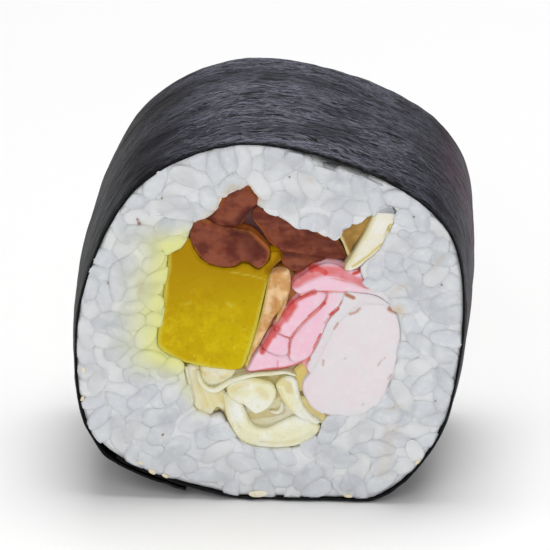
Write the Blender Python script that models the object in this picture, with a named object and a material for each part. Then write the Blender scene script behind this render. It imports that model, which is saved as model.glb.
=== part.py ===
"""One slice of a thick maki roll (futomaki), standing on its nori side.

X runs across the slice, Y along the roll (the shown cut face looks to -Y) and Z is up.  The origin is under the
middle of the slice, on the surface that it stands on.  Cross-sections are drawn in millimetres in the X-Z plane and
run through the slice along Y; everything is turned into metres when a mesh is made.
"""

import math

import bmesh
import bpy
import numpy as np

# ---- driving dimensions, in millimetres -------------------------------------------------------------------------
MM = 0.001
SLICE = 26.5  # between the two cut faces: an eighth of a roll made along a 21 cm sheet of nori
NORI = 0.5  # thickness of the damp nori sheet
GAP = 0.3  # clearance between neighbouring pieces
SOFT = 0.8  # how near the rice comes to the filling round its edge
LAP_GAP = 0.15  # between the two layers where the sheet laps over itself
LAP_START = (-17.6, 6.1)  # where the covered end of the sheet begins, on the lower left facet
LAP = 9.0  # length of the lap
BARREL = 0.45  # how far the waist of the slice stands out beyond its cut edges
TWIST = math.radians(5.0)  # the filling turns this much from one cut face to the other
DRIFT = (-0.5, 0.4)  # and its middle wanders by this much
HEART = (2.0, 24.0)  # the middle of the filling
FOOT = NORI + GAP  # the rice's flat foot, with the nori under it

# The rice's outer edge: a rounded square that has settled on its foot and leans a little to the left.
# Control points of the edge, counter-clockwise from the foot's left end.
FOOT_LEFT, FOOT_RIGHT = (-3.5, FOOT), (12.0, FOOT)
LOWER_RIGHT, RIGHT, UPPER_RIGHT = (18.9, 7.6), (22.3, 21.5), (20.9, 34.6)
SHOULDER_RIGHT, TOP, SHOULDER_LEFT = (13.6, 41.2), (-3.2, 45.5), (-14.6, 40.4)
LEFT, WAIST_LEFT, LOWER_LEFT = (-20.9, 28.8), (-22.4, 17.6), (-19.9, 7.3)

STATIONS = 7  # sections along the roll
ROUND = 84  # points round the roll


# ---- drawing cross-sections -------------------------------------------------------------------------------------
def spline(points, n, closed):
    """n points, evenly spaced, on a centripetal Catmull-Rom curve through the given ones."""
    p = np.array(points, float)
    if closed:
        p = np.vstack([p[-1], p, p[0], p[1]])
    else:
        p = np.vstack([2 * p[0] - p[1], p, 2 * p[-1] - p[-2]])
    out = []
    for i in range(1, len(p) - 2):
        a, b, c, d = p[i - 1 : i + 3]
        t = [0.0]
        for u, v in ((a, b), (b, c), (c, d)):
            t.append(t[-1] + max(math.dist(u, v), 1e-6) ** 0.5)
        for s in np.linspace(t[1], t[2], 24, endpoint=False):
            ab = (t[1] - s) / (t[1] - t[0]) * a + (s - t[0]) / (t[1] - t[0]) * b
            bc = (t[2] - s) / (t[2] - t[1]) * b + (s - t[1]) / (t[2] - t[1]) * c
            cd = (t[3] - s) / (t[3] - t[2]) * c + (s - t[2]) / (t[3] - t[2]) * d
            abc = (t[2] - s) / (t[2] - t[0]) * ab + (s - t[0]) / (t[2] - t[0]) * bc
            bcd = (t[3] - s) / (t[3] - t[1]) * bc + (s - t[1]) / (t[3] - t[1]) * cd
            out.append((t[2] - s) / (t[2] - t[1]) * abc + (s - t[1]) / (t[2] - t[1]) * bcd)
    out.append(p[1] if closed else p[-2])
    return even(np.array(out), n, closed)


def even(line, n, closed):
    """n points evenly spaced along a polyline; on a closed one the last isn't a copy of the first."""
    run = np.concatenate([[0], np.cumsum(np.linalg.norm(np.diff(line, axis=0), axis=1))])
    at = np.linspace(0, run[-1], n, endpoint=not closed)
    return np.stack([np.interp(at, run, line[:, k]) for k in (0, 1)], 1)


def normals(line, closed):
    """Unit normals on the right-hand side of travel, which is outwards on a counter-clockwise loop."""
    if closed:
        d = np.roll(line, -1, 0) - np.roll(line, 1, 0)
    else:
        d = np.gradient(line, axis=0)
    d /= np.linalg.norm(d, axis=1)[:, None]
    return np.stack([d[:, 1], -d[:, 0]], 1)


def ccw(loop):
    x, z = loop[:, 0], loop[:, 1]
    return loop if np.sum(x * np.roll(z, -1) - np.roll(x, -1) * z) > 0 else loop[::-1]


def ribbon(path, halves, n=8, cap=3):
    """The section of a strip or sheet: a line through path with a half-thickness at each point and round ends."""
    line = spline(path, n, False)
    side = normals(line, False)
    half = np.interp(np.linspace(0, 1, n), np.linspace(0, 1, len(halves)), halves)
    loop = [p + s * h for p, s, h in zip(line, side, half)]
    for end, sign in ((-1, 1), (0, -1)):
        p, s, h = line[end], side[end], half[end]
        ahead = np.array([-s[1], s[0]])
        for k in range(1, cap + 1):
            a = math.pi * k / (cap + 1)
            loop.append(p + sign * h * (s * math.cos(a) + ahead * math.sin(a)))
        if sign == 1:
            loop += [q - t * g for q, t, g in zip(line[::-1], side[::-1], half[::-1])]
    return ccw(np.array(loop))


def block(corners, radius, steps=2):
    """A polygon with its corners rounded."""
    c = ccw(np.array(corners, float))
    loop = []
    for before, at, after in zip(np.roll(c, 1, 0), c, np.roll(c, -1, 0)):
        u, v = before - at, after - at
        lu, lv = np.linalg.norm(u), np.linalg.norm(v)
        r = min(radius, 0.45 * lu, 0.45 * lv)
        start, end = at + u / lu * r, at + v / lv * r
        for k in range(steps + 1):
            t = k / steps
            loop.append((1 - t) ** 2 * start + 2 * t * (1 - t) * at + t * t * end)
    return np.array(loop)


def blob(points, n):
    return ccw(spline(points, n, True))


# ---- the filling: one section for each piece --------------------------------------------------------------------
# name: (section, how far its two ends lie behind the rice's cut faces, colour, roughness)
FILLING = {
    # The block of yellow pickled radish; the gourd strips press its upper corner down.
    "pickled_radish": (
        block([(-13.1, 19.5), (-3.3, 17.4), (-0.5, 28.9), (-5.2, 29.3), (-9.0, 30.9), (-10.3, 33.6), (-11.9, 32.4)], 0.7),
        (0.2, 0.3),
        (0.55, 0.42, 0.02),
        0.35,
    ),
    # Three pieces of brown simmered gourd strip.
    "gourd_strip_upper": (ribbon([(-3.1, 38.8), (-4.3, 37.4), (-5.0, 36.6)], [1.95, 1.8, 1.6], 4), (0.7, 0.5), (0.2, 0.06, 0.04), 0.4),
    "gourd_strip_lower": (ribbon([(-7.9, 34.0), (-5.4, 32.3), (-1.7, 32.0)], [1.2, 1.75, 1.75], 6), (0.5, 0.7), (0.2, 0.06, 0.04), 0.4),
    "gourd_strip_right": (ribbon([(0.2, 35.4), (3.0, 32.9), (7.5, 32.5)], [1.25, 2.4, 1.45], 7), (0.8, 0.6), (0.18, 0.06, 0.04), 0.4),
    # The crab stick: its red and white outer sheets, peeled apart, and its white core.
    "crab_sheet_top": (ribbon([(3.7, 27.8), (6.8, 29.0), (10.4, 28.0), (14.3, 26.3)], [0.7, 1.3, 0.9, 0.45], 9), (0.5, 0.4), (0.8, 0.3, 0.32), 0.35),
    "crab_sheet_left": (ribbon([(5.4, 26.0), (3.4, 24.0), (2.0, 22.2)], [0.9, 1.05, 1.0], 6), (0.3, 0.5), (0.8, 0.35, 0.4), 0.35),
    "crab_sheet_middle": (ribbon([(7.9, 25.8), (5.8, 23.2), (4.1, 20.7)], [0.75, 1.0, 1.1], 6), (0.4, 0.3), (0.8, 0.45, 0.5), 0.35),
    "crab_sheet_right": (ribbon([(10.1, 25.6), (8.2, 23.2), (6.7, 20.4), (5.8, 18.6)], [0.45, 0.45, 0.45, 0.3], 8), (0.3, 0.6), (0.8, 0.6, 0.62), 0.35),
    "crab_sheet_end": (ribbon([(1.2, 20.0), (0.4, 19.4)], [0.95, 0.95], 3), (0.2, 0.4), (0.8, 0.5, 0.55), 0.35),
    "crab_sheet_bottom": (ribbon([(-1.6, 17.2), (0.9, 17.5), (3.6, 18.1)], [0.4, 0.55, 0.65], 6), (0.5, 0.3), (0.8, 0.4, 0.42), 0.35),
    "crab_core": (
        blob([(11.9, 25.5), (14.0, 24.4), (15.1, 21.8), (14.5, 17.0), (13.0, 12.8), (10.4, 11.1), (7.4, 11.5), (5.6, 13.2), (5.0, 15.2), (6.9, 18.8), (8.5, 22.3)], 26),
        (0.1, 0.2),
        (0.8, 0.74, 0.75),
        0.4,
    ),
    # White cabbage: a bundle of curled shreds, a rib, a scrap of leaf, and a stained strip beside the radish.
    "cabbage_curls": (
        blob([(-9.0, 16.9), (-8.0, 13.6), (-5.8, 10.6), (-3.2, 8.2), (0.0, 7.1), (3.4, 7.9), (5.6, 9.7), (4.3, 12.0), (3.4, 14.2), (2.4, 16.1), (-0.6, 16.1), (-3.0, 16.0), (-6.0, 16.9)], 28),
        (0.6, 0.5),
        (0.75, 0.7, 0.4),
        0.4,
    ),
    "cabbage_rib": (ribbon([(14.4, 37.6), (12.7, 35.1), (10.5, 31.4)], [0.95, 1.2, 0.55], 6), (0.3, 0.6), (0.85, 0.8, 0.6), 0.35),
    "cabbage_leaf": (block([(9.0, 35.2), (11.0, 36.1), (9.9, 33.0)], 0.4), (0.9, 0.8), (0.45, 0.33, 0.12), 0.45),
    "cabbage_strip": (ribbon([(1.4, 28.2), (0.6, 24.8), (-1.5, 19.4)], [0.85, 0.65, 0.25], 7), (0.6, 0.7), (0.65, 0.4, 0.15), 0.45),
}


def roll_edge():
    """The rice's outer edge, counter-clockwise, with a truly flat foot."""
    loop = blob(
        [FOOT_LEFT, FOOT_RIGHT, LOWER_RIGHT, RIGHT, UPPER_RIGHT, SHOULDER_RIGHT, TOP, SHOULDER_LEFT, LEFT, WAIST_LEFT, LOWER_LEFT],
        720,
    )
    loop[:, 1] = np.maximum(loop[:, 1], FOOT)
    return loop


def radius_at(loop, angles):
    """Distance from HEART to a loop that can be seen from it, at each angle."""
    d = loop - HEART
    a = np.unwrap(np.arctan2(d[:, 1], d[:, 0]))
    r = np.hypot(d[:, 0], d[:, 1])
    a, r = np.concatenate([a - 2 * math.pi, a, a + 2 * math.pi]), np.tile(r, 3)
    return np.interp(angles, a, r)


def cavity(angles):
    """The hole in the rice: it follows the filling's outline a grain's softness away, as rice pressed round it does."""
    reach = np.zeros(len(angles))
    for section, *_ in FILLING.values():
        dense = even(np.vstack([section, section[:1]]), 160, True)
        d = dense - HEART
        a, r = np.arctan2(d[:, 1], d[:, 0]), np.hypot(d[:, 0], d[:, 1])
        for k, angle in enumerate(angles):
            off = (a - angle + math.pi) % (2 * math.pi) - math.pi
            miss = r * np.sin(off)
            near = (np.abs(off) < 1.0) & (np.abs(miss) < SOFT)
            if near.any():
                far = r[near] * np.cos(off[near]) + np.sqrt(SOFT**2 - miss[near] ** 2)
                reach[k] = max(reach[k], far.max())
    filled = np.where(reach > 0)[0]
    return np.interp(np.arange(len(angles)), filled, reach[filled], period=len(angles))


# ---- from sections to solids ------------------------------------------------------------------------------------
def along(y):
    """Position along the slice, -1 at the front cut and 1 at the back one."""
    return 2 * y / SLICE


def barrel(points, y):
    """Swells a section towards the waist of the slice, keeping the foot where it is."""
    swell = BARREL * (1 - along(y) ** 2) / 22.0
    p = np.array(points, float)
    p[:, 0] *= 1 + swell
    p[:, 1] = FOOT + (p[:, 1] - FOOT) * (1 + swell)
    return p


def sway(points, y):
    """Turns and shifts the filling a little as it runs through the slice."""
    t = along(y) / 2 + 0.5
    a = TWIST * t
    p = np.array(points, float) - HEART
    turned = np.stack([p[:, 0] * math.cos(a) - p[:, 1] * math.sin(a), p[:, 0] * math.sin(a) + p[:, 1] * math.cos(a)], 1)
    shift = np.array(DRIFT) * math.sin(math.pi * t)
    return turned + HEART + shift


def material(name, colour, roughness):
    m = bpy.data.materials.new(name)
    m.use_nodes = True
    m.diffuse_color = (*colour, 1)
    shader = m.node_tree.nodes["Principled BSDF"]
    shader.inputs["Base Color"].default_value = (*colour, 1)
    shader.inputs["Roughness"].default_value = roughness
    shader.inputs["Metallic"].default_value = 0.0
    return m


def finish(name, bm, colour, roughness, centre):
    """Makes bm, in millimetres, into a node in metres with the slice's middle at the origin."""
    bmesh.ops.recalc_face_normals(bm, faces=bm.faces)
    for v in bm.verts:
        v.co = ((v.co.x - centre) * MM, v.co.y * MM, v.co.z * MM)
    mesh = bpy.data.meshes.new(name)
    bm.to_mesh(mesh)
    bm.free()
    mesh.shade_smooth()
    mesh.set_sharp_from_angle(angle=math.radians(40))
    mesh.materials.append(material(name, colour, roughness))
    ob = bpy.data.objects.new(name, mesh)
    bpy.context.scene.collection.objects.link(ob)
    return ob


def ring(bm, points, y):
    return [bm.verts.new((x, yy, z)) for (x, z), yy in zip(points, np.broadcast_to(y, len(points)))]


def bridge(bm, a, b):
    for i in range(len(a)):
        j = (i + 1) % len(a)
        bm.faces.new((a[i], a[j], b[j], b[i]))


def filling_piece(name, section, ends, colour, roughness, centre):
    """A piece of the filling, run through the slice."""
    bm = bmesh.new()
    ys = np.linspace(-SLICE / 2 + ends[0], SLICE / 2 - ends[1], STATIONS - 2)
    rings = [ring(bm, sway(section, y), y) for y in ys]
    for a, b in zip(rings, rings[1:]):
        bridge(bm, a, b)
    bm.faces.new(rings[0])
    bm.faces.new(rings[-1])
    return finish(name, bm, colour, roughness, centre)


def rice(centre):
    """The rice: a thick ring out to its uneven edge, open where the filling runs through it."""
    angles = np.linspace(-math.pi, math.pi, ROUND, endpoint=False)
    outer, inner = radius_at(roll_edge(), angles), cavity(angles)
    rays = np.stack([np.cos(angles), np.sin(angles)], 1)
    rim, hole = HEART + rays * outer[:, None], HEART + rays * inner[:, None]
    bm = bmesh.new()
    ys = np.linspace(-SLICE / 2, SLICE / 2, STATIONS)
    outside = [ring(bm, barrel(rim, y), y) for y in ys]
    inside = [ring(bm, sway(hole, y), y) for y in ys]
    for a, b in zip(outside, outside[1:]):
        bridge(bm, a, b)
    for a, b in zip(inside[::-1], inside[::-1][1:]):
        bridge(bm, a, b)
    for k, y in ((0, ys[0]), (-1, ys[-1])):
        # The knife leaves the cut rice slightly uneven: two rings of low waves between the rim and the filling.
        edge, core = barrel(rim, y), sway(hole, y)
        rings = [outside[k]]
        for share, phase in ((0.35, 0.0), (0.7, 1.9)):
            wave = 0.16 * np.sin(9 * angles + phase) * np.sin(5 * angles + 2 * phase) + 0.16
            rings.append(ring(bm, edge * (1 - share) + core * share, y - math.copysign(1, y) * wave))
        rings.append(inside[k])
        for a, b in zip(rings, rings[1:]):
            bridge(bm, a, b)
    return finish("rice", bm, (0.75, 0.76, 0.78), 0.45, centre)


def nori_sections():
    """For each station, the inner and outer faces of the sheet: once round the rice, then over its own start."""
    sheets = []
    for y in np.linspace(-SLICE / 2, SLICE / 2, STATIONS):
        edge = barrel(roll_edge(), y)
        start = int(np.argmin(np.hypot(*(edge - LAP_START).T)))
        edge = np.roll(edge, -start, 0)
        run = np.concatenate([[0], np.cumsum(np.linalg.norm(np.diff(np.vstack([edge, edge[:1]]), axis=0), axis=1))])
        total, side = run[-1], normals(edge, True)
        at = np.linspace(0, total + LAP, int(ROUND * 1.12))
        place = at % total
        point = np.stack([np.interp(place, run, np.append(edge[:, k], edge[0, k])) for k in (0, 1)], 1)
        out = np.stack([np.interp(place, run, np.append(side[:, k], side[0, k])) for k in (0, 1)], 1)
        out /= np.linalg.norm(out, axis=1)[:, None]
        climb = np.clip((at - (total - 4.0)) / 3.4, 0, 1)
        lift = GAP + (NORI + LAP_GAP) * climb * climb * (3 - 2 * climb)
        inner = point + out * lift[:, None]
        outer = point + out * (lift + NORI)[:, None]
        sheets.append((y, inner, outer))
    return sheets


def nori(sheets, centre):
    """The nori: one sheet wrapped round the rice, its free end lapping over its covered end at the lower left."""
    bm = bmesh.new()
    rows = [(ring(bm, inner, y), ring(bm, outer, y)) for y, inner, outer in sheets]
    count = len(sheets[0][1])
    for (i0, o0), (i1, o1) in zip(rows, rows[1:]):
        for k in range(count - 1):
            bm.faces.new((i0[k], i0[k + 1], i1[k + 1], i1[k]))
            bm.faces.new((o0[k], o1[k], o1[k + 1], o0[k + 1]))
        for k in (0, -1):
            bm.faces.new((i0[k], i1[k], o1[k], o0[k]))
    for i, o in (rows[0], rows[-1]):
        for k in range(count - 1):
            bm.faces.new((i[k], i[k + 1], o[k + 1], o[k]))
    return finish("nori", bm, (0.02, 0.022, 0.025), 0.5, centre)


def main():
    for ob in list(bpy.data.objects):
        bpy.data.objects.remove(ob)
    sheets = nori_sections()
    across = np.concatenate([outer[:, 0] for _, _, outer in sheets])
    centre = (across.min() + across.max()) / 2
    nori(sheets, centre)
    rice(centre)
    for name, (section, ends, colour, roughness) in FILLING.items():
        filling_piece(name, section, ends, colour, roughness, centre)


main()
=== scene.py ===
"""The looks of a slice of thick maki roll, built round its CAD frame.

Lengths are in millimetres while shapes are drawn, in the CAD's own section plane: x across, z up, and y along the
roll with the shown cut face at y = -SLICE / 2.  mesh_piece turns them into metres.
"""

import math

import bpy
import numpy as np
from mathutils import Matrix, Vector
from mathutils.geometry import delaunay_2d_cdt


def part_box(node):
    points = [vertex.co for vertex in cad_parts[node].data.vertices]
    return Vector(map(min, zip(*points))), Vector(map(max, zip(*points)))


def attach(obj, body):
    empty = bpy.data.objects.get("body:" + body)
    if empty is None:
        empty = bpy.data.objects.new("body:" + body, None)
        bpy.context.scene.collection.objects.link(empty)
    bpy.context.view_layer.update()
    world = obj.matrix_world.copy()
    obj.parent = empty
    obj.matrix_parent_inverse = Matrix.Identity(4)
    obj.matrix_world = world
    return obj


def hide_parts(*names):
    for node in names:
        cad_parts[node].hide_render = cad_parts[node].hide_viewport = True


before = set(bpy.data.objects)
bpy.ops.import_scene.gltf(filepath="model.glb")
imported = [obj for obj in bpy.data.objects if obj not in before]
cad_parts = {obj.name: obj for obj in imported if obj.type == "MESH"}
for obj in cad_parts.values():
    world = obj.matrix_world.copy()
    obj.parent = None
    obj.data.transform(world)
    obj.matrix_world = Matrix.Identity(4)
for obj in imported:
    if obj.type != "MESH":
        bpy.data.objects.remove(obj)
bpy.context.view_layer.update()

# ---- sizes, as in the CAD -----------------------------------------------------------------------------------------
SLICE, NORI, GAP, LAP_GAP, LAP, BARREL = 26.5, 0.5, 0.3, 0.15, 9.0, 0.45
LAP_START, TWIST, DRIFT, HEART = (-17.6, 6.1), math.radians(5.0), (-0.5, 0.4), np.array((2.0, 24.0))
FOOT = NORI + GAP
EDGE = [(-3.5, FOOT), (12.0, FOOT), (18.9, 7.6), (22.3, 21.5), (20.9, 34.6), (13.6, 41.2), (-3.2, 45.5), (-14.6, 40.4), (-20.9, 28.8), (-22.4, 17.6), (-19.9, 7.3)]
FRONT, BACK = -SLICE / 2, SLICE / 2


# ---- noise --------------------------------------------------------------------------------------------------------
def lattice(ix, iy, iz, seed):
    n = (ix * 73856093) ^ (iy * 19349663) ^ (iz * 83492791) ^ (seed * 97531)
    n = (n ^ (n >> 13)) & 0xFFFFFFFF
    n = (n * 1274126177) & 0xFFFFFFFF
    n = (n ^ (n >> 15)) * 668265263 & 0xFFFFFFFF
    return ((n >> 8) & 0xFFFFF) / 524287.5 - 1.0


def noise(p, scale=1.0, seed=0, octaves=1):
    """Smooth value noise from -1 to 1 at the rows of p, with a feature size of about 1 / scale."""
    p = np.atleast_2d(np.asarray(p, float)) * scale
    if p.shape[1] == 2:
        p = np.column_stack([p, np.zeros(len(p))])
    total, weight, gain = np.zeros(len(p)), 0.0, 1.0
    for octave in range(octaves):
        q = p * 2**octave + 37.7 * octave
        i = np.floor(q).astype(np.int64)
        f = q - i
        f = f * f * (3 - 2 * f)
        s = seed + 101 * octave
        out = 0
        for dx in (0, 1):
            for dy in (0, 1):
                for dz in (0, 1):
                    w = (f[:, 0] if dx else 1 - f[:, 0]) * (f[:, 1] if dy else 1 - f[:, 1]) * (f[:, 2] if dz else 1 - f[:, 2])
                    out = out + w * lattice(i[:, 0] + dx, i[:, 1] + dy, i[:, 2] + dz, s)
        total += gain * out
        weight += gain
        gain *= 0.5
    return total / weight


def smooth(t, a=0.0, b=1.0):
    t = np.clip((np.asarray(t, float) - a) / (b - a), 0, 1)
    return t * t * (3 - 2 * t)


# ---- sections -----------------------------------------------------------------------------------------------------
def even(line, n, closed):
    line = np.asarray(line, float)
    if closed:
        line = np.vstack([line, line[:1]])
    run = np.concatenate([[0], np.cumsum(np.linalg.norm(np.diff(line, axis=0), axis=1))])
    at = np.linspace(0, run[-1], n, endpoint=not closed)
    return np.stack([np.interp(at, run, line[:, k]) for k in (0, 1)], 1)


def length(line, closed=False):
    line = np.asarray(line, float)
    if closed:
        line = np.vstack([line, line[:1]])
    return np.linalg.norm(np.diff(line, axis=0), axis=1).sum()


def spline(points, closed, fine=24):
    """A dense centripetal Catmull-Rom curve through the points."""
    p = np.array(points, float)
    p = np.vstack([p[-1], p, p[0], p[1]]) if closed else np.vstack([2 * p[0] - p[1], p, 2 * p[-1] - p[-2]])
    out = []
    for i in range(1, len(p) - 2):
        a, b, c, d = p[i - 1 : i + 3]
        t = [0.0]
        for u, v in ((a, b), (b, c), (c, d)):
            t.append(t[-1] + max(math.dist(u, v), 1e-6) ** 0.5)
        for s in np.linspace(t[1], t[2], fine, endpoint=False):
            ab = (t[1] - s) / (t[1] - t[0]) * a + (s - t[0]) / (t[1] - t[0]) * b
            bc = (t[2] - s) / (t[2] - t[1]) * b + (s - t[1]) / (t[2] - t[1]) * c
            cd = (t[3] - s) / (t[3] - t[2]) * c + (s - t[2]) / (t[3] - t[2]) * d
            abc = (t[2] - s) / (t[2] - t[0]) * ab + (s - t[0]) / (t[2] - t[0]) * bc
            bcd = (t[3] - s) / (t[3] - t[1]) * bc + (s - t[1]) / (t[3] - t[1]) * cd
            out.append((t[2] - s) / (t[2] - t[1]) * abc + (s - t[1]) / (t[2] - t[1]) * bcd)
    if not closed:
        out.append(p[-2])
    return np.array(out)


def ccw(loop):
    x, z = loop[:, 0], loop[:, 1]
    return loop if np.sum(x * np.roll(z, -1) - np.roll(x, -1) * z) > 0 else loop[::-1]


def normals(line, closed):
    """Unit normals on the right-hand side of travel: outwards on a counter-clockwise loop."""
    d = np.roll(line, -1, 0) - np.roll(line, 1, 0) if closed else np.gradient(line, axis=0)
    d = d / np.maximum(np.linalg.norm(d, axis=1), 1e-9)[:, None]
    return np.stack([d[:, 1], -d[:, 0]], 1)


def outline(points, sharp=False):
    """A closed outline through the points, smooth or with short straight sides."""
    return ccw(np.array(points, float) if sharp else spline(points, True))


def ribbon(path, halves, fine=0.12):
    """The outline of a strip along path, half as thick as halves says, with round ends."""
    line = spline(path, False)
    line = even(line, max(int(length(line) / fine), 8), False)
    side = normals(line, False)
    half = np.interp(np.linspace(0, 1, len(line)), np.linspace(0, 1, len(halves)), halves)
    loop = [p + s * h for p, s, h in zip(line, side, half)]
    for end, sign in ((-1, 1), (0, -1)):
        p, s, h = line[end], side[end], half[end]
        ahead = np.array([-s[1], s[0]])
        for k in range(1, 8):
            a = math.pi * k / 8
            loop.append(p + sign * h * (s * math.cos(a) + ahead * math.sin(a)))
        if sign == 1:
            loop += [q - t * g for q, t, g in zip(line[::-1], side[::-1], half[::-1])]
    return ccw(np.array(loop))


def to_line(points, line, closed=True):
    """Distance from each point to a polyline."""
    a = np.asarray(line, float)
    b = np.roll(a, -1, 0) if closed else a[1:]
    a = a if closed else a[:-1]
    ab = b - a
    size = np.maximum((ab**2).sum(1), 1e-12)
    out = np.empty(len(points))
    for i in range(0, len(points), 4000):
        p = points[i : i + 4000, None, :] - a[None]
        t = np.clip((p * ab).sum(2) / size, 0, 1)
        out[i : i + 4000] = np.sqrt(((p - t[..., None] * ab) ** 2).sum(2)).min(1)
    return out


def within(points, loop):
    """Whether each point is inside a closed polyline."""
    a, b = loop, np.roll(loop, -1, 0)
    out = np.zeros(len(points), bool)
    for i in range(0, len(points), 4000):
        x, z = points[i : i + 4000, 0, None], points[i : i + 4000, 1, None]
        crosses = (a[:, 1] > z) != (b[:, 1] > z)
        with np.errstate(divide="ignore", invalid="ignore"):
            at = (b[:, 0] - a[:, 0]) * (z - a[:, 1]) / (b[:, 1] - a[:, 1]) + a[:, 0]
        out[i : i + 4000] = (crosses & (x < at)).sum(1) % 2 == 1
    return out


class Field:
    """Signed distance to a set of closed outlines on a grid, negative inside any of them or in a gap between them
    narrower than twice close."""

    def __init__(self, loops, close=0.0, pitch=0.2):
        self.low, self.pitch = np.array([-27.0, -3.0]), pitch
        self.shape = (int(54 / pitch) + 1, int(54 / pitch) + 1)
        gx, gz = np.meshgrid(*[self.low[k] + pitch * np.arange(self.shape[k]) for k in (0, 1)], indexing="ij")
        p = np.stack([gx.ravel(), gz.ravel()], 1)
        best = np.full(len(p), 1e9)
        for loop in loops:
            line = even(loop, max(int(length(loop, True) / 0.4), 12), True)
            near = (p > line.min(0) - 1).all(1) & (p < line.max(0) + 1).all(1)
            d = to_line(p[near], line)
            d[within(p[near], line)] *= -1
            best[near] = np.minimum(best[near], d)
        grid = self.measure(p, best.reshape(self.shape))
        if close:
            grid = self.measure(p, grid - close) + close
        self.grid = grid
        self.gx, self.gz = np.gradient(self.grid, pitch)

    def measure(self, p, values):
        """True signed distance to the line where values is 0."""
        q = p.reshape(*self.shape, 2)
        found = []
        for a, b, va, vb in ((q[:-1], q[1:], values[:-1], values[1:]), (q[:, :-1], q[:, 1:], values[:, :-1], values[:, 1:])):
            hit = (va < 0) != (vb < 0)
            t = (va[hit] / (va[hit] - vb[hit]))[:, None]
            found.append(a[hit] * (1 - t) + b[hit] * t)
        found = np.vstack(found)
        out = np.empty(len(p))
        for i in range(0, len(p), 3000):
            d = p[i : i + 3000, None, :] - found[None]
            out[i : i + 3000] = np.sqrt((d * d).sum(2).min(1))
        return np.where(values < 0, -1, 1) * out.reshape(self.shape)

    def sample(self, grid, p):
        q = (p - self.low) / self.pitch
        q = np.clip(q, 0, np.array(self.shape) - 1.001)
        i = q.astype(int)
        f = q - i
        return (
            grid[i[:, 0], i[:, 1]] * (1 - f[:, 0]) * (1 - f[:, 1])
            + grid[i[:, 0] + 1, i[:, 1]] * f[:, 0] * (1 - f[:, 1])
            + grid[i[:, 0], i[:, 1] + 1] * (1 - f[:, 0]) * f[:, 1]
            + grid[i[:, 0] + 1, i[:, 1] + 1] * f[:, 0] * f[:, 1]
        )

    def distance(self, p):
        return self.sample(self.grid, p)

    def away(self, p):
        g = np.stack([self.sample(self.gx, p), self.sample(self.gz, p)], 1)
        return g / np.maximum(np.linalg.norm(g, axis=1), 1e-6)[:, None]


def roll_edge(n=720):
    loop = even(spline(EDGE, True), n, True)
    loop[:, 1] = np.maximum(loop[:, 1], FOOT)
    return ccw(loop)


def swell(y):
    return BARREL * (1 - (2 * np.asarray(y) / SLICE) ** 2) / 22.0


def barrel(p, y):
    s = swell(y)
    return np.stack([p[:, 0] * (1 + s), FOOT + (p[:, 1] - FOOT) * (1 + s)], 1)


def unbarrel(p, y):
    s = swell(y)
    return np.stack([p[:, 0] / (1 + s), FOOT + (p[:, 1] - FOOT) / (1 + s)], 1)


def sway(p, y, back=False):
    """The filling's turn and drift at y, or with back=True the way back from it."""
    t = np.clip(np.asarray(y, float) / SLICE + 0.5, 0, 1)
    a = TWIST * t
    c, s = np.cos(a), np.sin(a)
    shift = np.stack([DRIFT[0] * np.sin(math.pi * t), DRIFT[1] * np.sin(math.pi * t)], -1)
    if back:
        q = p - HEART - shift
        return np.stack([q[:, 0] * c + q[:, 1] * s, -q[:, 0] * s + q[:, 1] * c], 1) + HEART
    q = p - HEART
    return np.stack([q[:, 0] * c - q[:, 1] * s, q[:, 0] * s + q[:, 1] * c], 1) + HEART + shift


ROLL = roll_edge()
_outer = [barrel(ROLL, y) + normals(barrel(ROLL, y), True) * (GAP + NORI) for y in np.linspace(FRONT, BACK, 7)]
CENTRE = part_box("nori")
CENTRE = min(o[:, 0].min() for o in _outer) - CENTRE[0].x * 1000  # how far the CAD moved its sections to centre itself


# ---- from arrays to pieces ----------------------------------------------------------------------------------------
def mesh_piece(name, points, faces, attributes=None, uv=None, material=None, slot=None, nodes=()):
    """A piece in metres from points in millimetres. faces is an (n, 3) or (n, 4) array, or a list of them."""
    faces = faces if isinstance(faces, list) else [faces]
    mesh = bpy.data.meshes.new(name)
    flat = np.concatenate([np.asarray(f, np.int32).ravel() for f in faces])
    sizes = np.concatenate([np.full(len(f), np.asarray(f).shape[1], np.int32) for f in faces])
    starts = np.concatenate([[0], np.cumsum(sizes)[:-1]]).astype(np.int32)
    p = np.asarray(points, float).copy()
    p[:, 0] -= CENTRE
    mesh.vertices.add(len(p))
    mesh.vertices.foreach_set("co", (p * 0.001).astype(np.float32).ravel())
    mesh.loops.add(len(flat))
    mesh.loops.foreach_set("vertex_index", flat)
    mesh.polygons.add(len(sizes))
    mesh.polygons.foreach_set("loop_start", starts)
    mesh.update(calc_edges=True)
    mesh.shade_smooth()
    for key, values in (attributes or {}).items():
        mesh.attributes.new(key, "FLOAT", "POINT").data.foreach_set("value", np.asarray(values, np.float32))
    if uv is not None:
        layer = mesh.uv_layers.new(name="sheet")
        layer.uv.foreach_set("vector", np.asarray(uv, np.float32)[flat].ravel())
    mesh.validate()
    obj = bpy.data.objects.new(name, mesh)
    bpy.context.scene.collection.objects.link(obj)
    if material:
        mesh.materials.append(material)
    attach(obj, "root")
    if nodes:
        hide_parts(*nodes)
    return obj


def join(parts):
    """(points, faces, attributes) of several made into one."""
    points, faces, attributes, at = [], [[], []], {}, 0
    for p, f, a in parts:
        points.append(p)
        for part in f:
            faces[np.asarray(part).shape[1] - 3].append(np.asarray(part) + at)
        for key, values in a.items():
            attributes.setdefault(key, []).append(values)
        at += len(p)
    faces = [np.vstack(f) for f in faces if f]
    return np.vstack(points), faces, {k: np.concatenate(v) for k, v in attributes.items()}


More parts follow.
